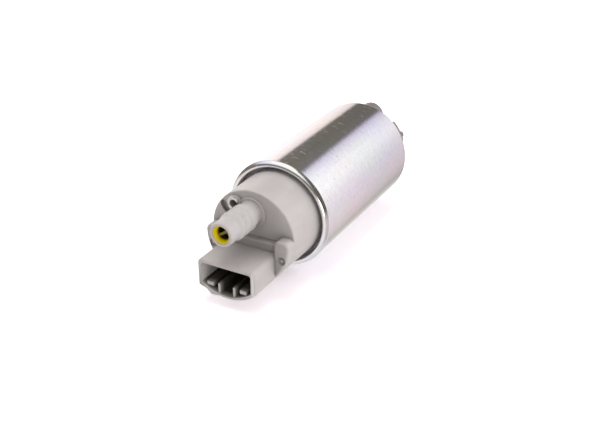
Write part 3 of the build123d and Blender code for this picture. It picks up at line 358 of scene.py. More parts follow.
def crevice_shade(finish, depth, darkest):
    """1 on open surfaces, falling to darkest where the piece itself closes in within depth millimetres. It
    is painted shade: it darkens a colour in the piece's own corners."""
    closed_in = 0.25
    inputs = {"Distance": depth * MM}
    node = add_node(finish, "ShaderNodeAmbientOcclusion", inputs, samples=8, only_local=True)
    return remap(finish, node.outputs["AO"], closed_in, 1.0, darkest, 1.0)


# Colours of the plating's haze and of the marks on it
plating = (0.81, 0.80, 0.81)
violet_haze = (0.79, 0.785, 0.845)
pink_haze = (0.85, 0.785, 0.80)
green_haze = (0.795, 0.82, 0.775)
dried_drop = (0.58, 0.575, 0.56)
dark_nick = (0.33, 0.32, 0.31)


def zinc_plated_steel():
    """Bright plating with a faint rainbow haze, streaks and mottling, dried drops and nicks, fine
    drawing lines, scratches in its worn patches, scuffs across them and shallow dents."""
    finish = new_finish("zinc_plated_steel", plating, 0.12, 1.0)
    cloud = remap(finish, grain(finish, 16, (1, 1.8, 1), 2), 0.36, 0.64, 0, 1)
    tint = mix_colours(finish, cloud, violet_haze, pink_haze)
    haze = remap(finish, grain(finish, 20, (1, 1.6, 1), 2, shift=(3, 8, 5)), 0.48, 0.66, 0, 0.8)
    clouded = mix_colours(finish, haze, tint, green_haze)
    streaks = remap(finish, grain(finish, 1, (1.1, 40, 1.1), 3, shift=(6, 2, 1)), 0.35, 0.65, 0.985, 1.01)
    clouded = mix_colours(finish, 1, clouded, streaks, "MULTIPLY")
    mottle = remap(finish, grain(finish, 2.4, (1, 0.7, 1), 5, 0.7, (3, 3, 7)), 0.38, 0.62, 0.965, 1.02)
    clouded = mix_colours(finish, 1, clouded, mottle, "MULTIPLY")
    drops = remap(finish, grain(finish, 1.5, detail=2, shift=(7, 2, 9)), 0.70, 0.76, 0, 0.4)
    spotted = mix_colours(finish, drops, clouded, dried_drop)
    nicks = remap(finish, grain(finish, 0.7, (1, 1.6, 1), 2, shift=(9, 4, 3)), 0.72, 0.76, 0, 0.75)
    connect(finish, "Base Color", mix_colours(finish, nicks, spotted, dark_nick))
    lines = remap(finish, grain(finish, 1, (4, 0.22, 4), 5, 0.7), 0.56, 0.70, 0, 0.15)
    worn = remap(finish, grain(finish, 9, detail=3, shift=(2, 8, 4)), 0.42, 0.60, 0.25, 1.0)
    scratches = remap(finish, grain(finish, 1, (3.5, 0.3, 3.5), 5, 0.7, (1, 9, 5)), 0.63, 0.70, 0, 2.2)
    scratches = multiply(finish, scratches, worn)
    scuffs = remap(finish, grain(finish, 1, (0.3, 5, 5), 4, shift=(4, 1, 2)), 0.64, 0.72, 0, 0.12)
    base = remap(finish, grain(finish, 6, detail=3), *noise_span, 0.045, 0.10)
    connect(finish, "Roughness", add(finish, add(finish, multiply(finish, lines, worn), scuffs), base))
    waves = grain(finish, 1.6, (2, 0.6, 2), 6, 0.65)
    dents = remap(finish, grain(finish, 2.2, (1, 1.6, 1), 3, shift=(1, 5, 8)), 0.60, 0.78, 0, 1.6)
    raise_surface(finish, add(finish, waves, add(finish, dents, scratches)), 0.011)
    return finish


def place_parts(finish):
    """X, Y and Z of a point of the piece."""
    return add_node(finish, "ShaderNodeSeparateXYZ", {"Vector": place_on(finish)}).outputs


def moulded_plastic(name, colour, shade, roughness, texture=0.012, corner_shade=1.0):
    """Satin moulding: faint flow marks, a fine eroded surface and, where corner_shade is under 1, painted
    shade in its corners."""
    corner_depth = 4
    finish = new_finish(name, colour, roughness)
    flow = remap(finish, grain(finish, 5, (1, 2.5, 1), 3), 0.35, 0.65, 0, 1)
    specks = remap(finish, grain(finish, 0.35, detail=2), 0.60, 0.72, 0, 0.35)
    body = mix_colours(finish, flow, colour, shade)
    body = mix_colours(finish, specks, body, shaded(colour, 0.82))
    # Painted shade: the colour darkens in the piece's own corners
    if corner_shade < 1:
        body = mix_colours(finish, 1, body, crevice_shade(finish, corner_depth, corner_shade), "MULTIPLY")
    connect(finish, "Base Color", body)
    sheen = grain(finish, 1.2, detail=4)
    connect(finish, "Roughness", remap(finish, sheen, *noise_span, roughness - 0.05, roughness + 0.06))
    rough = grain(finish, 0.22, detail=3, roughness=0.7)
    sunk = remap(finish, grain(finish, 2.6, detail=2, shift=(2, 2, 6)), *noise_span, 0, 1.5)
    raise_surface(finish, add(finish, rough, sunk), texture)
    return finish


def fade(finish, value, places, most=1):
    """0 at the first of two places, given in millimetres, and most at the second."""
    return remap(finish, value, places[0] * MM, places[1] * MM, 0, most)


# Where the painted shade, painted light and painted highlight on the cap begin and end, in millimetres
shade_depth = 12
shade_darkest = 0.52
shade_tint = (1, 0.985, 0.97)
unshaded_groove_y = (-38, -35.5)
unshaded_spigot_r = (5.1, 4.85)
unshaded_spigot_y = (-49.4, -51)
# Painted light on the relief outlet's front and a painted highlight on the rim's right edge
painted_light_colour = (0.86, 0.83, 0.82)
lit_boss_x = (-4, -5)
lit_boss_z = (5, 6)
lit_boss_y = (-49.55, -49.68)
socket_rim_y = (-64.3, -64.5)
highlit_rim_x = (9.2, 9.6)
highlit_rim_most = 0.9
# Painted shade on the lower left edge of the socket's rim
shaded_rim_x = (-7.5, -8.6)
shaded_rim_z = (-5, -13)
shaded_rim_most = 0.85
rim_shade = (0.36, 0.32, 0.29)


def paint_cap_light_and_shade(finish):
    """Painted shade in the corners of the cap in front of the can, painted light on the relief outlet's
    front, a painted highlight on the right edge of the socket's rim, and painted shade on its left edge."""
    body = finish.node_tree.nodes["Principled BSDF"].inputs["Base Color"].links[0].from_socket
    x, y, z = place_parts(finish)
    across = add_node(finish, "ShaderNodeCombineXYZ", {"X": x, "Z": z}).outputs["Vector"]
    inputs = {0: across, 1: (spigot_x * MM, 0, spigot_z * MM)}
    from_spigot = add_node(finish, "ShaderNodeVectorMath", inputs, operation="DISTANCE").outputs["Value"]
    on_spigot = multiply(finish, fade(finish, from_spigot, unshaded_spigot_r), fade(finish, y, unshaded_spigot_y))
    unshaded = add(finish, fade(finish, y, unshaded_groove_y), on_spigot)
    # Painted shade in the cap's corners, left out by the groove and on the spigot
    painted_shade = mix_colours(finish, 1, crevice_shade(finish, shade_depth, shade_darkest), shade_tint, "MULTIPLY")
    painted_shade = mix_colours(finish, unshaded, painted_shade, (1, 1, 1))
    body = mix_colours(finish, 1, body, painted_shade, "MULTIPLY")
    # Painted light on the relief outlet's front
    boss = multiply(finish, fade(finish, x, lit_boss_x), fade(finish, z, lit_boss_z))
    boss = multiply(finish, boss, fade(finish, y, lit_boss_y))
    rim = fade(finish, y, socket_rim_y)
    # Painted highlight on the right edge of the socket's rim
    highlit_rim = multiply(finish, rim, fade(finish, x, highlit_rim_x, highlit_rim_most))
    # Painted shade on the lower left edge of the socket's rim
    left_rim = multiply(finish, rim, fade(finish, x, shaded_rim_x))
    painted_dark = multiply(finish, left_rim, fade(finish, z, shaded_rim_z, shaded_rim_most))
    body = mix_colours(finish, add(finish, boss, highlit_rim), body, painted_light_colour)
    connect(finish, "Base Color", mix_colours(finish, painted_dark, body, rim_shade))


def painted_shade_inwards(finish, colour, dark, places):
    """Colour that turns dark along Y between two places in millimetres: painted shade that deepens inwards.
    """
    inwards = fade(finish, place_parts(finish)["Y"], places)
    mottle = remap(finish, grain(finish, 1.1, detail=3), *noise_span, 0.9, 1.1)
    body = mix_colours(finish, 1, mix_colours(finish, inwards, colour, dark), mottle, "MULTIPLY")
    connect(finish, "Base Color", body)
    return body


# Painted shade inside the socket and in the yellow insert's bore, and painted light on the socket's left
# wall
socket_shade_edge = (0.36, 0.34, 0.31)
socket_shade_deep = (0.075, 0.062, 0.05)
socket_shade_y = (-64.1, -61.8)
lit_left_wall = (0.80, 0.78, 0.73)
lit_left_wall_x = (-8.95, -8.8)
insert_yellow = (0.95, 0.77, 0.004)
insert_shade = (0.05, 0.036, 0.010)
insert_shade_y = (-64.35, -63.4)


def socket_shade():
    """The cap's moulding inside the socket, with painted shade that darkens it behind its front edge, and
    painted light on its left wall."""
    finish = new_finish("socket_shade", socket_shade_edge, 0.5)
    painted_dark = painted_shade_inwards(finish, socket_shade_edge, socket_shade_deep, socket_shade_y)
    # Painted light on the socket's left wall
    lit_wall = fade(finish, place_parts(finish)["X"], lit_left_wall_x)
    connect(finish, "Base Color", mix_colours(finish, lit_wall, lit_left_wall, painted_dark))
    raise_surface(finish, grain(finish, 0.25, detail=3, roughness=0.7), 0.012)
    return finish


def yellow_insert():
    """Satin yellow moulding, with painted shade that darkens its bore."""
    finish = new_finish("yellow_insert", insert_yellow, 0.32)
    painted_shade_inwards(finish, insert_yellow, insert_shade, insert_shade_y)
    connect(finish, "Roughness", remap(finish, grain(finish, 0.7, detail=3), *noise_span, 0.24, 0.38))
    raise_surface(finish, grain(finish, 0.4, detail=3), 0.01)
    return finish


def metal(name, colour, roughness, lines=(1, 1, 1), spacing=0.5, stain=0.75):
    """Bare metal with machining lines stretched along an axis and stained patches."""
    finish = new_finish(name, colour, roughness, 1.0)
    patches = remap(finish, grain(finish, 3, detail=3), 0.4, 0.7, 0, 1)
    connect(finish, "Base Color", mix_colours(finish, patches, colour, shaded(colour, stain)))
    marks = grain(finish, spacing, lines, 4, 0.65)
    connect(finish, "Roughness", remap(finish, marks, *noise_span, roughness - 0.07, roughness + 0.12))
    raise_surface(finish, marks, 0.01)
    return finish


def mineral(name, colour, roughness, size, relief):
    """Pressed or fired material with visible grains and small chips."""
    finish = new_finish(name, colour, roughness)
    grains = remap(finish, grain(finish, size, detail=5, roughness=0.7), *noise_span, 0, 1)
    connect(finish, "Base Color", mix_colours(finish, grains, shaded(colour, 0.7), shaded(colour, 1.35)))
    chips = remap(finish, grain(finish, 1.8, detail=3, shift=(5, 1, 3)), 0.62, 0.72, 0, 1)
    connect(finish, "Roughness", remap(finish, chips, 0, 1, roughness, roughness + 0.2))
    raise_surface(finish, add(finish, grains, chips), relief)
    return finish


def enamelled_wire():
    """Turns of lacquered copper wire, seen as fine ridges about the pump's axis."""
    finish = new_finish("enamelled_wire", (0.60, 0.22, 0.07), 0.28, 0.85)
    turns = ridges(finish, "DIAGONAL", 520.0, Distortion=0.6, Detail=1.0)
    connect(finish, "Base Color", mix_colours(finish, turns, (0.34, 0.10, 0.03), (0.68, 0.27, 0.09)))
    raise_surface(finish, turns, 0.06)
    return finish


def stacked_sheets():
    """Punched electrical sheets pressed into one stack along Y."""
    finish = new_finish("stacked_sheets", (0.36, 0.35, 0.34), 0.42, 0.9)
    sheets = ridges(finish, "Y", 640.0)
    connect(finish, "Base Color", mix_colours(finish, sheets, (0.20, 0.19, 0.185), (0.42, 0.41, 0.40)))
    raise_surface(finish, sheets, 0.04)
    return finish


def braided_copper():
    """Copper strands that cross each other."""
    finish = new_finish("braided_copper", (0.62, 0.30, 0.16), 0.38, 0.9)
    woven = multiply(finish, ridges(finish, "DIAGONAL", 900.0), ridges(finish, "X", 900.0))
    connect(finish, "Base Color", mix_colours(finish, woven, (0.32, 0.12, 0.05), (0.72, 0.38, 0.20)))
    raise_surface(finish, woven, 0.05)
    return finish


grey = (0.60, 0.575, 0.565)
cap_finish = moulded_plastic("grey_moulding", grey, (0.56, 0.53, 0.52), 0.34, 0.03)
# Paints shade, light and a highlight into the cap's colour
paint_cap_light_and_shade(cap_finish)
zinc = zinc_plated_steel()
yellow = yellow_insert()
# The dark cover's last value paints shade into its corners
dark_cover = moulded_plastic("dark_moulding", (0.25, 0.22, 0.225), (0.21, 0.185, 0.19), 0.4, 0.012, 0.6)
rubber = mineral("black_rubber", (0.022, 0.022, 0.023), 0.62, 0.3, 0.008)
spring_steel = metal("spring_wire", (0.55, 0.55, 0.56), 0.24, (1, 1, 1), 0.2)
brass = metal("turned_brass", (0.74, 0.54, 0.23), 0.22, (6, 0.15, 6))
bright_steel = metal("ground_steel", (0.68, 0.68, 0.69), 0.14, (6, 0.1, 6))
tin = metal("tinned_brass", (0.74, 0.73, 0.70), 0.30, (0.3, 5, 0.3))
bronze = metal("sintered_bronze", (0.50, 0.33, 0.15), 0.48, (1, 1, 1), 0.12, 0.55)
lacquered = enamelled_wire()
core = mineral("pressed_ferrite", (0.055, 0.052, 0.052), 0.5, 0.25, 0.01)
magnet = mineral("fired_magnet", (0.075, 0.07, 0.068), 0.42, 0.5, 0.015)
carbon = mineral("pressed_carbon", (0.03, 0.03, 0.032), 0.36, 0.15, 0.008)
fibre = moulded_plastic("red_fibre", (0.40, 0.10, 0.055), (0.33, 0.08, 0.045), 0.5)
acetal = moulded_plastic("white_acetal", (0.72, 0.70, 0.64), (0.67, 0.64, 0.57), 0.38)
phenolic = moulded_plastic("black_phenolic", (0.045, 0.04, 0.036), (0.035, 0.03, 0.028), 0.42)
casing_brown = moulded_plastic("brown_moulding", (0.13, 0.105, 0.09), (0.10, 0.08, 0.068), 0.4)
impeller_brown = moulded_plastic("impeller_moulding", (0.17, 0.11, 0.07), (0.13, 0.08, 0.05), 0.35)
braid = braided_copper()
sheet_steel = stacked_sheets()
copper = metal("turned_copper", (0.72, 0.36, 0.20), 0.25, (6, 0.12, 6))

# Each finish, and the nodes that have it
finished_nodes = (
    (zinc, "motor_can"),
    (cap_finish, "outlet_cap"),
    (yellow, "check_valve_retainer"),
    (dark_cover, "intake_cover"),
    (rubber, "cap_seal_ring", "pump_seal_ring", "check_valve_seal"),
    (acetal, "check_valve_plunger"),
    (spring_steel, "check_valve_spring", "relief_valve_spring", "magnet_clips",
     "brush_spring_left", "brush_spring_right"),
    (brass, "relief_valve_seat"),
    (bright_steel, "relief_valve_ball", "armature_shaft", "thrust_ball"),
    (tin, "terminal_left", "terminal_right"),
    (core, "choke_core_left", "choke_core_right"),
    (lacquered, "choke_coil_left", "choke_coil_right", "armature_windings"),
    (carbon, "brush_left", "brush_right"),
    (braid, "brush_lead_left", "brush_lead_right"),
    (magnet, "magnet_left", "magnet_right"),
    (bronze, "upper_bearing", "lower_bearing"),
    (sheet_steel, "lamination_stack"),
    (fibre, "armature_insulators"),
    (copper, "commutator_segments"),
    (phenolic, "commutator_hub"),
    (casing_brown, "pump_casing"),
    (impeller_brown, "impeller"),
)
for finish, *names in finished_nodes:
    for name in names:
        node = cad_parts[name]
        node.data.materials.clear()
        node.data.materials.append(finish)


def on_circle(centre, radius, degrees):
    """Point of a circle about centre."""
    angle = radians(degrees)
    return (centre[0] + radius * cos(angle), centre[1] + radius * sin(angle))


def arc(centre, radius, first, last, count):
    """Points of an arc about centre, from angle first to last in degrees."""
    return [on_circle(centre, radius, first + (last - first) * step / count) for step in range(count + 1)]


def stepped(radius, y, steps):
    """Points of an outline at (outwards, along Y) steps from one place."""
    return [(radius + out, y + along) for out, along in steps]


def rounded(corners, steps=6):
    """Outline through corners given as (x, z, radius), with an arc of that radius at each."""
    outline = []
    for index, (x, z, radius) in enumerate(corners):
        corner = Vector((x, z))
        before = (Vector(corners[index - 1][:2]) - corner).normalized()
        after = (Vector(corners[(index + 1) % len(corners)][:2]) - corner).normalized()
        half = before.angle(after) / 2
        reach = radius / tan(half)
        centre = corner + (before + after).normalized() * radius / sin(half)
        for step in range(steps + 1 if radius else 1):
            chord = (corner + before * reach).lerp(corner + after * reach, step / steps) - centre
            outline.append(tuple(centre + chord.normalized() * radius) if radius else (x, z))
    return outline


def start_piece(name):
    """Takes up the primitive just added, with its place in its mesh, in edit mode. A unit is a
    millimetre until the piece is fitted."""
    piece = bpy.context.object
    piece.name = name
    bpy.ops.object.transform_apply(location=True, rotation=True, scale=True)
    bpy.ops.object.mode_set(mode="EDIT")
    bpy.ops.mesh.select_all(action="SELECT")
    return piece


def end_piece(merge=0.002):
    """Merges doubles, turns the faces outwards and leaves edit mode."""
    bpy.ops.mesh.select_all(action="SELECT")
    bpy.ops.mesh.remove_doubles(threshold=merge)
    bpy.ops.mesh.normals_make_consistent(inside=False)
    bpy.ops.object.mode_set(mode="OBJECT")


def take(piece):
    """Makes a piece the only one selected."""
    bpy.ops.object.select_all(action="DESELECT")
    piece.select_set(True)
    bpy.context.view_layer.objects.active = piece


def turned(name, outline, centre=(0, 0), steps=192, closed=True):
    """Turns an outline of (radius, y) points about an axis along Y through centre, given as (x, z).
    A closed outline makes a ring; an open one is a solid with a flat face at each end."""
    bpy.ops.object.select_all(action="DESELECT")
    x, z = centre
    bpy.ops.mesh.primitive_circle_add(
        vertices=steps,
        radius=outline[0][0],
        fill_type="NOTHING",
        location=(x, outline[0][1], z),
        rotation=(pi / 2, 0, 0),
    )
    piece = start_piece(name)
    if not closed:
        bpy.ops.mesh.edge_face_add()
    path = outline + outline[:1] if closed else outline
    for (radius, y), (next_radius, next_y) in zip(path, path[1:]):
        bpy.ops.mesh.extrude_region_move(TRANSFORM_OT_translate={"value": (0, next_y - y, 0)})
        scale = next_radius / radius
        bpy.ops.transform.resize(value=(scale, 1, scale), center_override=(x, next_y, z))
    end_piece()
    return piece


def drawn(name, outline, from_y, to_y):
    """Draws an outline of (x, z) points at from_y, fills it and extrudes it to to_y."""
    bpy.ops.object.select_all(action="DESELECT")
    x, z = outline[0]
    bpy.ops.mesh.primitive_plane_add(size=1, location=(x, from_y, z))
    piece = start_piece(name)
    bpy.ops.mesh.merge(type="CENTER")
    for (x, z), (next_x, next_z) in zip(outline, outline[1:]):
        bpy.ops.mesh.extrude_region_move(TRANSFORM_OT_translate={"value": (next_x - x, 0, next_z - z)})
    bpy.ops.mesh.select_all(action="SELECT")
    bpy.ops.mesh.edge_face_add()
    bpy.ops.mesh.extrude_region_move(TRANSFORM_OT_translate={"value": (0, to_y - from_y, 0)})
    end_piece()
    return piece


def block(name, x, low, high, width, from_y, to_y):
    """Drawn block of a width centred at x, between two heights."""
    left, right = x - width / 2, x + width / 2
    return drawn(name, [(left, low), (right, low), (right, high), (left, high)], from_y, to_y)


def side_block(name, side, section, from_y, to_y):
    """Block on the left or right, -1 or 1, of a section: (from the middle, low, high, width)."""
    x, low, high, width = section
    return block(name, side * x, low, high, width, from_y, to_y)


def round_edges(piece, width, segments, chosen):
    """Rounds the edges whose ends are both chosen by their places."""
    take(piece)
    bpy.ops.object.mode_set(mode="EDIT")
    bpy.ops.mesh.select_mode(type="EDGE")
    bpy.ops.mesh.select_all(action="DESELECT")
    bpy.ops.object.mode_set(mode="OBJECT")
    points = piece.data.vertices
    for edge in piece.data.edges:
        edge.select = all(chosen(points[end].co) for end in edge.vertices)
    bpy.ops.object.mode_set(mode="EDIT")
    bpy.ops.mesh.bevel(offset=width, segments=segments, affect="EDGES")
    bpy.ops.mesh.select_mode(type="VERT")
    bpy.ops.object.mode_set(mode="OBJECT")
    return piece


same_place = 0.001


def round_end(piece, y, width, segments=3):
    """Rounds the edges around the flat end at y."""
    return round_edges(piece, width, segments, lambda place: abs(place.y - y) < same_place)


def combine(piece, tools, operation):
    """Joins tools to a piece (UNION) or cuts them out of it (DIFFERENCE)."""
    for tool in tools:
        take(piece)
        bpy.ops.object.modifier_add(type="BOOLEAN")
        boolean = piece.modifiers[-1]
        boolean.operation = operation
        boolean.solver = "EXACT"
        boolean.object = tool
        bpy.ops.object.modifier_apply(modifier=boolean.name)
        bpy.data.objects.remove(tool)


def fit_piece(piece, body, slot, finish, *nodes, crisp=35):
    """Brings a new piece to its size, smooths it with the edges over crisp degrees kept sharp, gives it its
    finish and its body, and hides the nodes that it stands for."""
    take(piece)
    piece.scale = (MM, MM, MM)
    bpy.ops.object.transform_apply(location=True, rotation=True, scale=True)
    bpy.ops.object.shade_smooth_by_angle(angle=radians(crisp))
    bpy.ops.object.modifier_add(type="WEIGHTED_NORMAL")
    piece.modifiers[-1].keep_sharp = True
    bpy.ops.object.modifier_apply(modifier=piece.modifiers[-1].name)
    piece.data.materials.clear()
    piece.data.materials.append(finish)
    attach(piece, body)
    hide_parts(*nodes)


# Steel can: thinned at both ends and rolled over the cap and the cover
roll_r = 1.6
lip_wall = 0.9
can_inner_r = 17.4
seat_r = can_r - lip_wall
cap_shoulder_y = -23.2
casing_shoulder_y = 19.2
crisp_edge = 0.15


def rolled_edge(edge_y, side):
    """Outer bend, rounded lip and inner bend of one end. side is -1 in front, 1 behind."""
    centre = (can_r - roll_r, edge_y)
    lip = (can_r - roll_r, edge_y + side * (roll_r - lip_wall / 2))
    outer = arc(centre, roll_r, 0, side * 90, 14)
    end = arc(lip, lip_wall / 2, side * 90, side * 270, 10)
    inner = arc(centre, roll_r - lip_wall, side * 90, 0, 8)
    return [(can_r, edge_y - side * crisp_edge)] + outer + end[1:-1] + inner


def make_can():
    """The can's wall and both of its rolled edges, turned in one outline."""
    front = rolled_edge(front_y, -1)
    rear = rolled_edge(rear_y, 1)
    outline = front + [
        (seat_r, cap_shoulder_y),
        (can_inner_r, cap_shoulder_y),
        (can_inner_r, casing_shoulder_y),
        (seat_r, casing_shoulder_y),
    ] + rear[::-1]
    return turned("can_shell", outline, steps=256)


fit_piece(make_can(), "pump_body", "can_steel", zinc, "motor_can")

# How far a joined piece reaches into its wall, and how far a cut runs past a face
into_wall = 0.6
past = 0.1
far_past = 1

# Outlet cap: turned body
cap_floor_y = -46.5
cap_inner_r = 14.14
cap_base_r = 15.64
cap_face_round = 0.5
groove_r = 16.95
groove_floor_y = -28.65
flange_r = 18.05
flange_front_y = -31.85
flange_round = 0.7
seal_front_y = -26.825
seal_rear_y = -25.025
seal_floor_r = 16.5
groove_fillet = ((0, -0.3), (0.1, -0.08), (0.35, 0))
groove_edge = ((0, 0.15), (0.15, 0))


def make_cap_body():
    """Face, drafted side, open groove, flange with its seal groove, and the hollow behind."""
    face_corner = (cap_face_r - cap_face_round, cap_face_y + cap_face_round)
    flange_corner = (flange_r - flange_round, flange_front_y + flange_round)
    outline = arc(face_corner, cap_face_round, -90, 0, 5)
    outline += stepped(cap_base_r, groove_floor_y, groove_fillet)
    outline.append((groove_r, groove_floor_y))
    outline += stepped(groove_r, flange_front_y, groove_edge)
    outline += arc(flange_corner, flange_round, -90, 0, 5)
    outline += [
        (flange_r, seal_front_y),
        (seal_floor_r, seal_front_y),
        (seal_floor_r, seal_rear_y),
        (flange_r, seal_rear_y),
        (flange_r, cap_shoulder_y),
        (cap_inner_r, cap_shoulder_y),
        (cap_inner_r, cap_floor_y),
    ]
    return turned("cap_body", outline, steps=160, closed=False)


# Hose spigot of the cap
spigot_centre = (spigot_x, spigot_z)
spigot_tip_r = 3.9
spigot_tip_round = 0.22
spigot_land_r = 4.15
spigot_land_front_y = -64.8
spigot_land_rear_y = -60.8
spigot_barbs = 3
barb_pitch = 3.1
barb_crest = 0.68
barb_r = 4.72
barb_samples = 12
neck_r = 4.14
neck_fillet = ((0, -0.5), (0.15, -0.13), (0.5, 0))
pad_r = 5.3
pad_round = 0.35
pad_front_y = -48.6
spigot_bore_r = 3.05
bore_end_y = -50.0
passage_r = 2.0


def make_spigot():
    """Plain land at the tip, then soft barbs that rise slowly and fall fast, and a round pad."""
    tip = (spigot_tip_r - spigot_tip_round, spigot_tip_y + spigot_tip_round)
    outline = arc(tip, spigot_tip_round, -90, 0, 6)
    outline += [(spigot_land_r, spigot_land_front_y), (spigot_land_r, spigot_land_rear_y)]
    for barb in range(spigot_barbs):
        start_r = neck_r if barb else spigot_land_r
        for sample in range(1, barb_samples + 1):
            share = sample / barb_samples
            if share < barb_crest:
                rise = sin(share / barb_crest * pi / 2)
            else:
                rise = cos((share - barb_crest) / (1 - barb_crest) * pi / 2) ** 2
            floor_r = start_r + (neck_r - start_r) * share
            radius = floor_r + (barb_r - floor_r) * rise
            outline.append((radius, spigot_land_rear_y + (barb + share) * barb_pitch))
    outline += stepped(neck_r, pad_front_y, neck_fillet)
    outline += arc((pad_r - pad_round, pad_front_y + pad_round), pad_round, -90, 0, 4)
    outline.append((pad_r, cap_face_y + into_wall))
    return turned("spigot", outline, spigot_centre, steps=112, closed=False)


# Connector socket of the cap
socket_half = 10.4
socket_top_z = -3.4
socket_bottom_r = 15.5
socket_front_y = -64.6
socket_corner_r = 1.5
collar_depth = 1.8
collar_overlap = 0.6
proud = 0.02
collar_steps = ((-socket_half - proud, -12.9), (-7.5, -14.0), (-5.8, -15.5))
collar_round_x = 5.4
cavity_half = 9.05
cavity_top_z = -4.6
cavity_bottom_r = 14.3
cavity_corner_r = 0.9
rim_round = 0.7
mouth_round = 0.2

# Its keying ribs, with sections as side_block takes them
rib_front_y = -64.2
rib_root_y = cap_face_y - 0.2
plain_rib = (2.75, -14.7, -10.7, 0.9)
plain_rib_round = 0.15
head_rib = (6.05, -12.2, -10.9, 2.5)
head_rib_round = 0.2
stem_rib = (6.05, -13.65, -12.0, 1.3)
stem_setback = 1.2


def below(radius, x):
    """Point below the axis, at x, on an arc of this radius about the axis."""
    return (x, -sqrt(radius ** 2 - x ** 2))


def socket_bottom(radius, from_x, to_x, count=16):
    """Points of the underside's arc from one x to another."""
    return [below(radius, from_x + (to_x - from_x) * step / count) for step in range(count + 1)]


def topped(half, top_z, corner_r, underside):
    """Outline of the socket: rounded top corners over the given underside, from right to left."""
    corners = [(*underside[-1], 0), (-half, top_z, corner_r), (half, top_z, corner_r), (*underside[0], 0)]
    return rounded(corners) + underside[1:-1]


def make_socket():
    """Body of the socket, and its rounded front collar with a stepped underside on the left."""
    body_under = socket_bottom(socket_bottom_r, socket_half, -socket_half)
    body = topped(socket_half, socket_top_z, socket_corner_r, body_under)
    collar_under = socket_bottom(socket_bottom_r + proud, socket_half + proud, collar_round_x, count=6)
    collar_under += collar_steps[::-1]
    collar = topped(socket_half + proud, socket_top_z + proud, socket_corner_r + proud, collar_under)
    front = drawn("collar", collar, socket_front_y + collar_depth, socket_front_y)
    round_end(front, socket_front_y, rim_round)
    return [drawn("socket", body, cap_face_y + into_wall, socket_front_y + collar_overlap), front]


def make_ribs():
    """Keying ribs in the socket: two plain ones and two with a T-shaped head."""
    ribs = []
    for side in (-1, 1):
        plain = side_block("rib", side, plain_rib, rib_root_y, rib_front_y)
        head = side_block("head", side, head_rib, rib_root_y, rib_front_y)
        stem = side_block("stem", side, stem_rib, rib_root_y, rib_front_y + stem_setback)
        round_end(plain, rib_front_y, plain_rib_round, 2)
        round_end(head, rib_front_y, head_rib_round, 2)
        ribs += [plain, head, stem]
    return ribs


# Lugs beside the socket and the ledge between them
ear_inner_x = 10.0
ear_r = 15.28
ear_foot_z = -9.5
ear_top_z = 2.0
ear_corner_r = 2.0
ear_arc = (-47.5, -1)
ear_front_y = -52.1
ear_round = 0.75
dimple_place = (12.75, -4.5)
dimple_pip = ((0.1, 0.12), (0.4, 0.2), (0.6, 0.4))
dimple_wall = ((0.7, 0.75), (1.05, 0.7), (1.35, 0.35), (1.5, 0), (1.6, -0.3))
ledge_section = (0, -4.0, -0.45, 20.5)
ledge_front_y = -50.2
ledge_round = 0.4


def make_ear(side):
    """Lug on one side of the socket, with a rounded front and top."""
    corner_z = ear_top_z - ear_corner_r
    outline = [(ear_inner_x, ear_foot_z)] + arc((0, 0), ear_r, *ear_arc, 8)
    outline += arc((ear_r - ear_corner_r, corner_z), ear_corner_r, 0, 90, 8)
    outline += arc((ear_inner_x + ear_corner_r, corner_z), ear_corner_r, 90, 180, 8)
    ear = drawn("ear", [(side * x, z) for x, z in outline], cap_face_y + into_wall, ear_front_y)
    return round_end(ear, ear_front_y, ear_round, 5)


def make_dimple(side):
    """Dent with a small pip, cut from the lug's front."""
    outline = stepped(0, ear_front_y, dimple_pip + dimple_wall)
    return turned("dimple", outline, (side * dimple_place[0], dimple_place[1]), steps=40, closed=False)


def make_ledge():
    """Low ledge across the face, above the socket."""
    ledge = block("ledge", *ledge_section, cap_face_y + into_wall, ledge_front_y)
    return round_end(ledge, ledge_front_y, ledge_round, 4)


# Relief outlet of the cap: rounded block, round shoulder, hole and curved recess
relief_place = (-6.05, 10.1)
relief_corners = ((-1.35, 2.4), (-2.45, 0.7), (-1.35, -2.8), (2.2, 1.6))
relief_corner_r = 0.7
relief_edge = 0.2
relief_front_y = -49.7
relief_shoulder_y = -48.9
relief_shoulder_r = 2.5
shoulder_edge = ((-0.2, 0), (0, 0.2))
relief_exit_r = 1.35
recess_r = 4.85
recess_width = 2.4
recess_arc = (197, 220)
recess_depth = 1.2


def make_relief_boss():
    """Rounded block with a round shoulder, both about the relief outlet's hole."""
    corners = [(relief_place[0] + x, relief_place[1] + z, relief_corner_r) for x, z in relief_corners]
    boss = drawn("boss", rounded(corners), cap_face_y + into_wall, relief_front_y)
    round_end(boss, relief_front_y, relief_edge)
    outline = stepped(relief_shoulder_r, relief_shoulder_y, shoulder_edge)
    outline.append((relief_shoulder_r, cap_face_y + into_wall))
    return [boss, turned("shoulder", outline, relief_place, steps=64, closed=False)]


def make_recess():
    """Curved slot with round ends, about the relief outlet."""
    half = recess_width / 2
    first, last = recess_arc
    outline = arc(relief_place, recess_r + half, first, last, 8)
    outline += arc(on_circle(relief_place, recess_r, last), half, last, last + 180, 8)[1:-1]
    outline += arc(relief_place, recess_r - half, last, first, 8)
    outline += arc(on_circle(relief_place, recess_r, first), half, first + 180, first + 360, 8)[1:-1]
    return drawn("recess", outline, cap_face_y - far_past, cap_face_y + recess_depth)


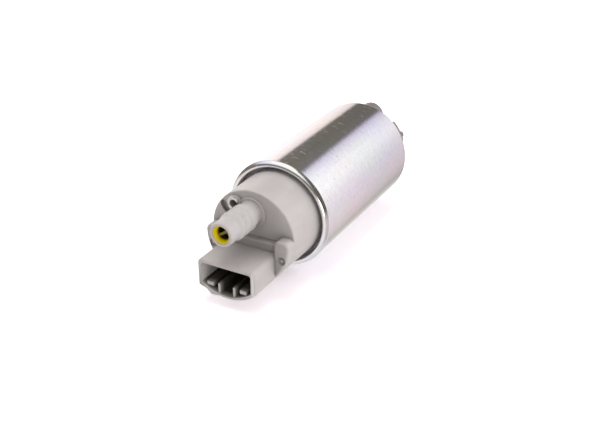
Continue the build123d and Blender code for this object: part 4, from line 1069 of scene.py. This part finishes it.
# Inside of the cap: bearing post, brush tubes, relief tube and choke cradles
inside_start_y = cap_floor_y - into_wall
post_r = 5.0
post_end_y = -27.1
relief_tube_r = 3.1
relief_tube_end_y = -38.5
brush_x = 8.3
brush_tube = (brush_x, -3.75, 3.75, 6.7)
tube_end_y = -25.9
choke_x = 9.6
choke_z = -8.5
cradle_length = 1.0
cradle_starts_y = (-44.4, -33.4)
cradle_profile = (
    (-2.1, 0),
    (-1.55, 0),
    (-1.1, -1.1),
    (0, -1.55),
    (1.1, -1.1),
    (1.55, 0),
    (2.1, 0),
    (1.4, -1.8),
    (-2.1, -3.2),
)


def make_inside():
    """Post, tubes and cradles that stand on the cap's floor and wall."""
    post = turned("post", [(post_r, inside_start_y), (post_r, post_end_y)], steps=64, closed=False)
    tube_outline = [(relief_tube_r, inside_start_y), (relief_tube_r, relief_tube_end_y)]
    pieces = [post, turned("tube", tube_outline, relief_place, steps=48, closed=False)]
    for side in (-1, 1):
        pieces.append(side_block("tube", side, brush_tube, inside_start_y, tube_end_y))
        cradle = [(side * (choke_x + out), choke_z + up) for out, up in cradle_profile]
        for start_y in cradle_starts_y:
            pieces.append(drawn("cradle", cradle, start_y, start_y + cradle_length))
    return pieces


def cylinder_cut(radius, centre, from_y, to_y):
    """Straight round hole."""
    return turned("cut", [(radius, from_y), (radius, to_y)], centre, steps=48, closed=False)


# What is cut out of the cap. The post's bore ends in the bearing's seat
spigot_mouth = ((0.25, -0.1), (0, 0.15))
exit_mouth = ((0.3, -0.15), (0, 0.15))
exit_end_y = -46.8
chamber_r = 1.9
bearing_seat_r = 3.35
bearing_seat_depth = 4.65
post_bore_r = 2.3
post_bore_end = 4.6
brush_well = (brush_x, -2.55, 2.55, 4.3)
lead_slot = (brush_x, -3.85, -2.5, 1.7)
lead_slot_start_y = -37.48
blade_slot = (4.5, -7.82, -6.98, 4.84)


def make_cuts():
    """Everything that is cut out of the cap."""
    cavity_under = socket_bottom(cavity_bottom_r, cavity_half, -cavity_half)
    cavity = topped(cavity_half, cavity_top_z, cavity_corner_r, cavity_under)
    bore = stepped(spigot_bore_r, spigot_tip_y, spigot_mouth) + [(spigot_bore_r, bore_end_y)]
    exit_hole = stepped(relief_exit_r, relief_front_y, exit_mouth) + [(relief_exit_r, exit_end_y)]
    cuts = [
        drawn("cavity", cavity, socket_front_y - far_past, cap_face_y),
        turned("mouth", bore, spigot_centre, steps=80, closed=False),
        cylinder_cut(passage_r, spigot_centre, bore_end_y - past, cap_floor_y + past),
        turned("exit", exit_hole, relief_place, steps=48, closed=False),
        cylinder_cut(chamber_r, relief_place, exit_end_y - past, relief_tube_end_y + past),
        cylinder_cut(bearing_seat_r, (0, 0), post_end_y - bearing_seat_depth, post_end_y + past),
        cylinder_cut(post_bore_r, (0, 0), cap_floor_y, post_end_y - post_bore_end),
        make_recess(),
    ]
    for side in (-1, 1):
        cuts += [
            make_dimple(side),
            side_block("well", side, brush_well, cap_floor_y, tube_end_y + past),
            side_block("slot", side, lead_slot, lead_slot_start_y, tube_end_y + past),
            side_block("blade_slot", side, blade_slot, cap_face_y - past, cap_floor_y + past),
        ]
    return cuts


def make_cap():
    """The whole cap: its body joined to what stands on it, then cut, then given its ribs."""
    cap = make_cap_body()
    cap.name = "outlet_cap_moulding"
    outside = make_socket() + make_relief_boss() + [make_spigot(), make_ledge(), make_ear(-1), make_ear(1)]
    combine(cap, outside + make_inside(), "UNION")
    combine(cap, make_cuts(), "DIFFERENCE")
    round_edges(cap, mouth_round, 2, in_mouth)
    combine(cap, make_ribs(), "UNION")
    return cap


def in_cavity(x, z, slack):
    """True inside the outline of the socket's cavity, or within slack of it."""
    inside = abs(x) < cavity_half + slack and z < cavity_top_z + slack
    return inside and hypot(x, z) < cavity_bottom_r + slack


mouth_slack = 0.01


def in_mouth(place):
    """True on the inner edge of the socket's front."""
    return in_cavity(place.x, place.z, mouth_slack) and abs(place.y - socket_front_y) < same_place


# The painted shade starts behind the socket's front edge and takes in its floor
shade_front_y = socket_front_y + 0.5
shade_back_y = cap_face_y + 0.3
shade_slack = 0.1


def shade_socket(cap, shade_finish):
    """Gives the faces inside the socket, behind its front edge, the finish with painted shade."""
    cap.data.materials.append(shade_finish)
    for face in cap.data.polygons:
        x, y, z = face.center / MM
        if in_cavity(x, z, shade_slack) and shade_front_y < y < shade_back_y:
            face.material_index = 1


cap = make_cap()
fit_piece(cap, "pump_body", "cap_plastic", cap_finish, "outlet_cap")
shade_socket(cap, socket_shade())


# Check valve retainer: funnel-mouthed sleeve with a bar across its bore
retainer_r = 3.0
retainer_front_y = -65.4
retainer_rear_y = -61.35
retainer_mouth_r = 2.8
retainer_bore_r = 2.2
retainer_lead_in = 0.1
retainer_edge = 0.06
funnel_foot = 0.3
bar_front_y = -63.6
bar_length = 1.2
bar_angle = 34
bar_half_width = 0.45
bar_into_wall = 0.1
bar_round = 0.12


def make_retainer():
    """Sleeve with a funnel-shaped mouth, joined to a bar that stands askew across its bore."""
    outline = [
        (retainer_r, retainer_front_y + retainer_lead_in),
        (retainer_r, retainer_rear_y),
        (retainer_bore_r, retainer_rear_y),
        (retainer_bore_r, bar_front_y),
        (retainer_bore_r + retainer_edge, bar_front_y - funnel_foot),
        (retainer_mouth_r, retainer_front_y + retainer_edge),
        (retainer_mouth_r + retainer_edge, retainer_front_y),
        (retainer_r - retainer_edge, retainer_front_y),
    ]
    sleeve = turned("yellow_retainer", outline, spigot_centre, steps=80)
    turn = radians(bar_angle)
    along = Vector((cos(turn), sin(turn))) * (retainer_bore_r + bar_into_wall)
    across = Vector((-sin(turn), cos(turn))) * bar_half_width
    middle = Vector(spigot_centre)
    corners = [
        tuple(middle + along + across),
        tuple(middle - along + across),
        tuple(middle - along - across),
        tuple(middle + along - across),
    ]
    bar = drawn("bar", corners, bar_front_y + bar_length, bar_front_y)
    round_end(bar, bar_front_y, bar_round, 2)
    combine(sleeve, [bar], "UNION")
    return sleeve


fit_piece(make_retainer(), "pump_body", "yellow_plastic", yellow, "check_valve_retainer")


# Springs, wound from wire with closed end turns, and the brushes' braided leads
wire_crisp = 50
wire_merge = 0.0005


def wire_piece(name, points, radius, samples=2):
    """Round wire along points in millimetres, as a closed mesh; samples is how fine its line is."""
    bpy.ops.object.select_all(action="DESELECT")
    bpy.ops.curve.primitive_nurbs_path_add(location=(0, 0, 0))
    piece = bpy.context.object
    piece.name = name
    line = piece.data
    line.splines.clear()
    spline = line.splines.new("NURBS")
    spline.points.add(len(points) - 1)
    for point, (x, y, z) in zip(spline.points, points):
        point.co = (x, y, z, 1)
    spline.order_u = 3
    spline.use_endpoint_u = True
    spline.resolution_u = samples
    line.bevel_depth = radius
    line.bevel_resolution = 3
    line.use_fill_caps = True
    bpy.ops.object.convert(target="MESH")
    piece = bpy.context.object
    bpy.ops.object.mode_set(mode="EDIT")
    end_piece(wire_merge)
    return piece


points_per_turn = 28
closed_pitch = 2.2
closed_share = 0.6


def coil_points(centre, start_y, end_y, radius, wire_r, turns):
    """Helix about an axis along Y. Its first and last turns are closed: they rise by closed_pitch
    wire radii, and open out after closed_share of a turn."""
    points = []
    open_turns = turns - 2
    closed_rise = closed_pitch * wire_r
    open_rise = (end_y - start_y - 2 * closed_rise) / open_turns
    y = start_y
    for step in range(turns * points_per_turn + 1):
        turn = step / points_per_turn
        angle = 2 * pi * turn
        points.append((centre[0] + radius * cos(angle), y, centre[1] + radius * sin(angle)))
        share = min(1, max(0, min(turn, turns - turn) - closed_share) / closed_share)
        y += (closed_rise + (open_rise - closed_rise) * share) / points_per_turn
    stretch = (end_y - start_y) / (points[-1][1] - start_y)
    return [(x, start_y + (y - start_y) * stretch, z) for x, y, z in points]


# Each spring: node, joint, centre, the Y of its ends, radius, wire radius, turns and its joint's travel
brush_travel = 2.5
brush_coil = (-46.25, -35.98, 1.75, 0.22, 6, brush_travel)
springs = (
    ("check_valve_spring", "check_valve_travel", spigot_centre, -61.14, -51.94, 2.2, 0.18, 6, 2.0),
    ("relief_valve_spring", "relief_valve_travel", relief_place, -46.67, -42.97, 1.45, 0.2, 5, 1.2),
    ("brush_spring_left", "brush_left_travel", (-brush_x, 0), *brush_coil),
    ("brush_spring_right", "brush_right_travel", (brush_x, 0), *brush_coil),
)
for node, joint, centre, start_y, end_y, radius, wire_r, turns, travel in springs:
    points = coil_points(centre, start_y, end_y, radius, wire_r, turns)
    spring = wire_piece(node + "_coil", points, wire_r)
    fit_piece(spring, "pump_body", "spring_steel", spring_steel, node, crisp=wire_crisp)
    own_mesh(spring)

# The right brush's lead, from the brush to its choke. The left one is its mirror image
lead_r = 0.45
lead_route = (
    (brush_x, -34.13, -2.6),
    (brush_x, -34.13, -3.9),
    (8.35, -34.3, -4.4),
    (8.7, -35.0, -4.5),
    (9.3, -36.4, -4.45),
    (9.6, -37.93, -4.38),
)
for side, place in ((-1, "left"), (1, "right")):
    route = [(side * x, y, z) for x, y, z in lead_route]
    lead = wire_piece("brush_" + place + "_braid", route, lead_r, samples=6)
    fit_piece(lead, "pump_body", "copper", braid, "brush_lead_" + place, crisp=wire_crisp)
    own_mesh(lead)
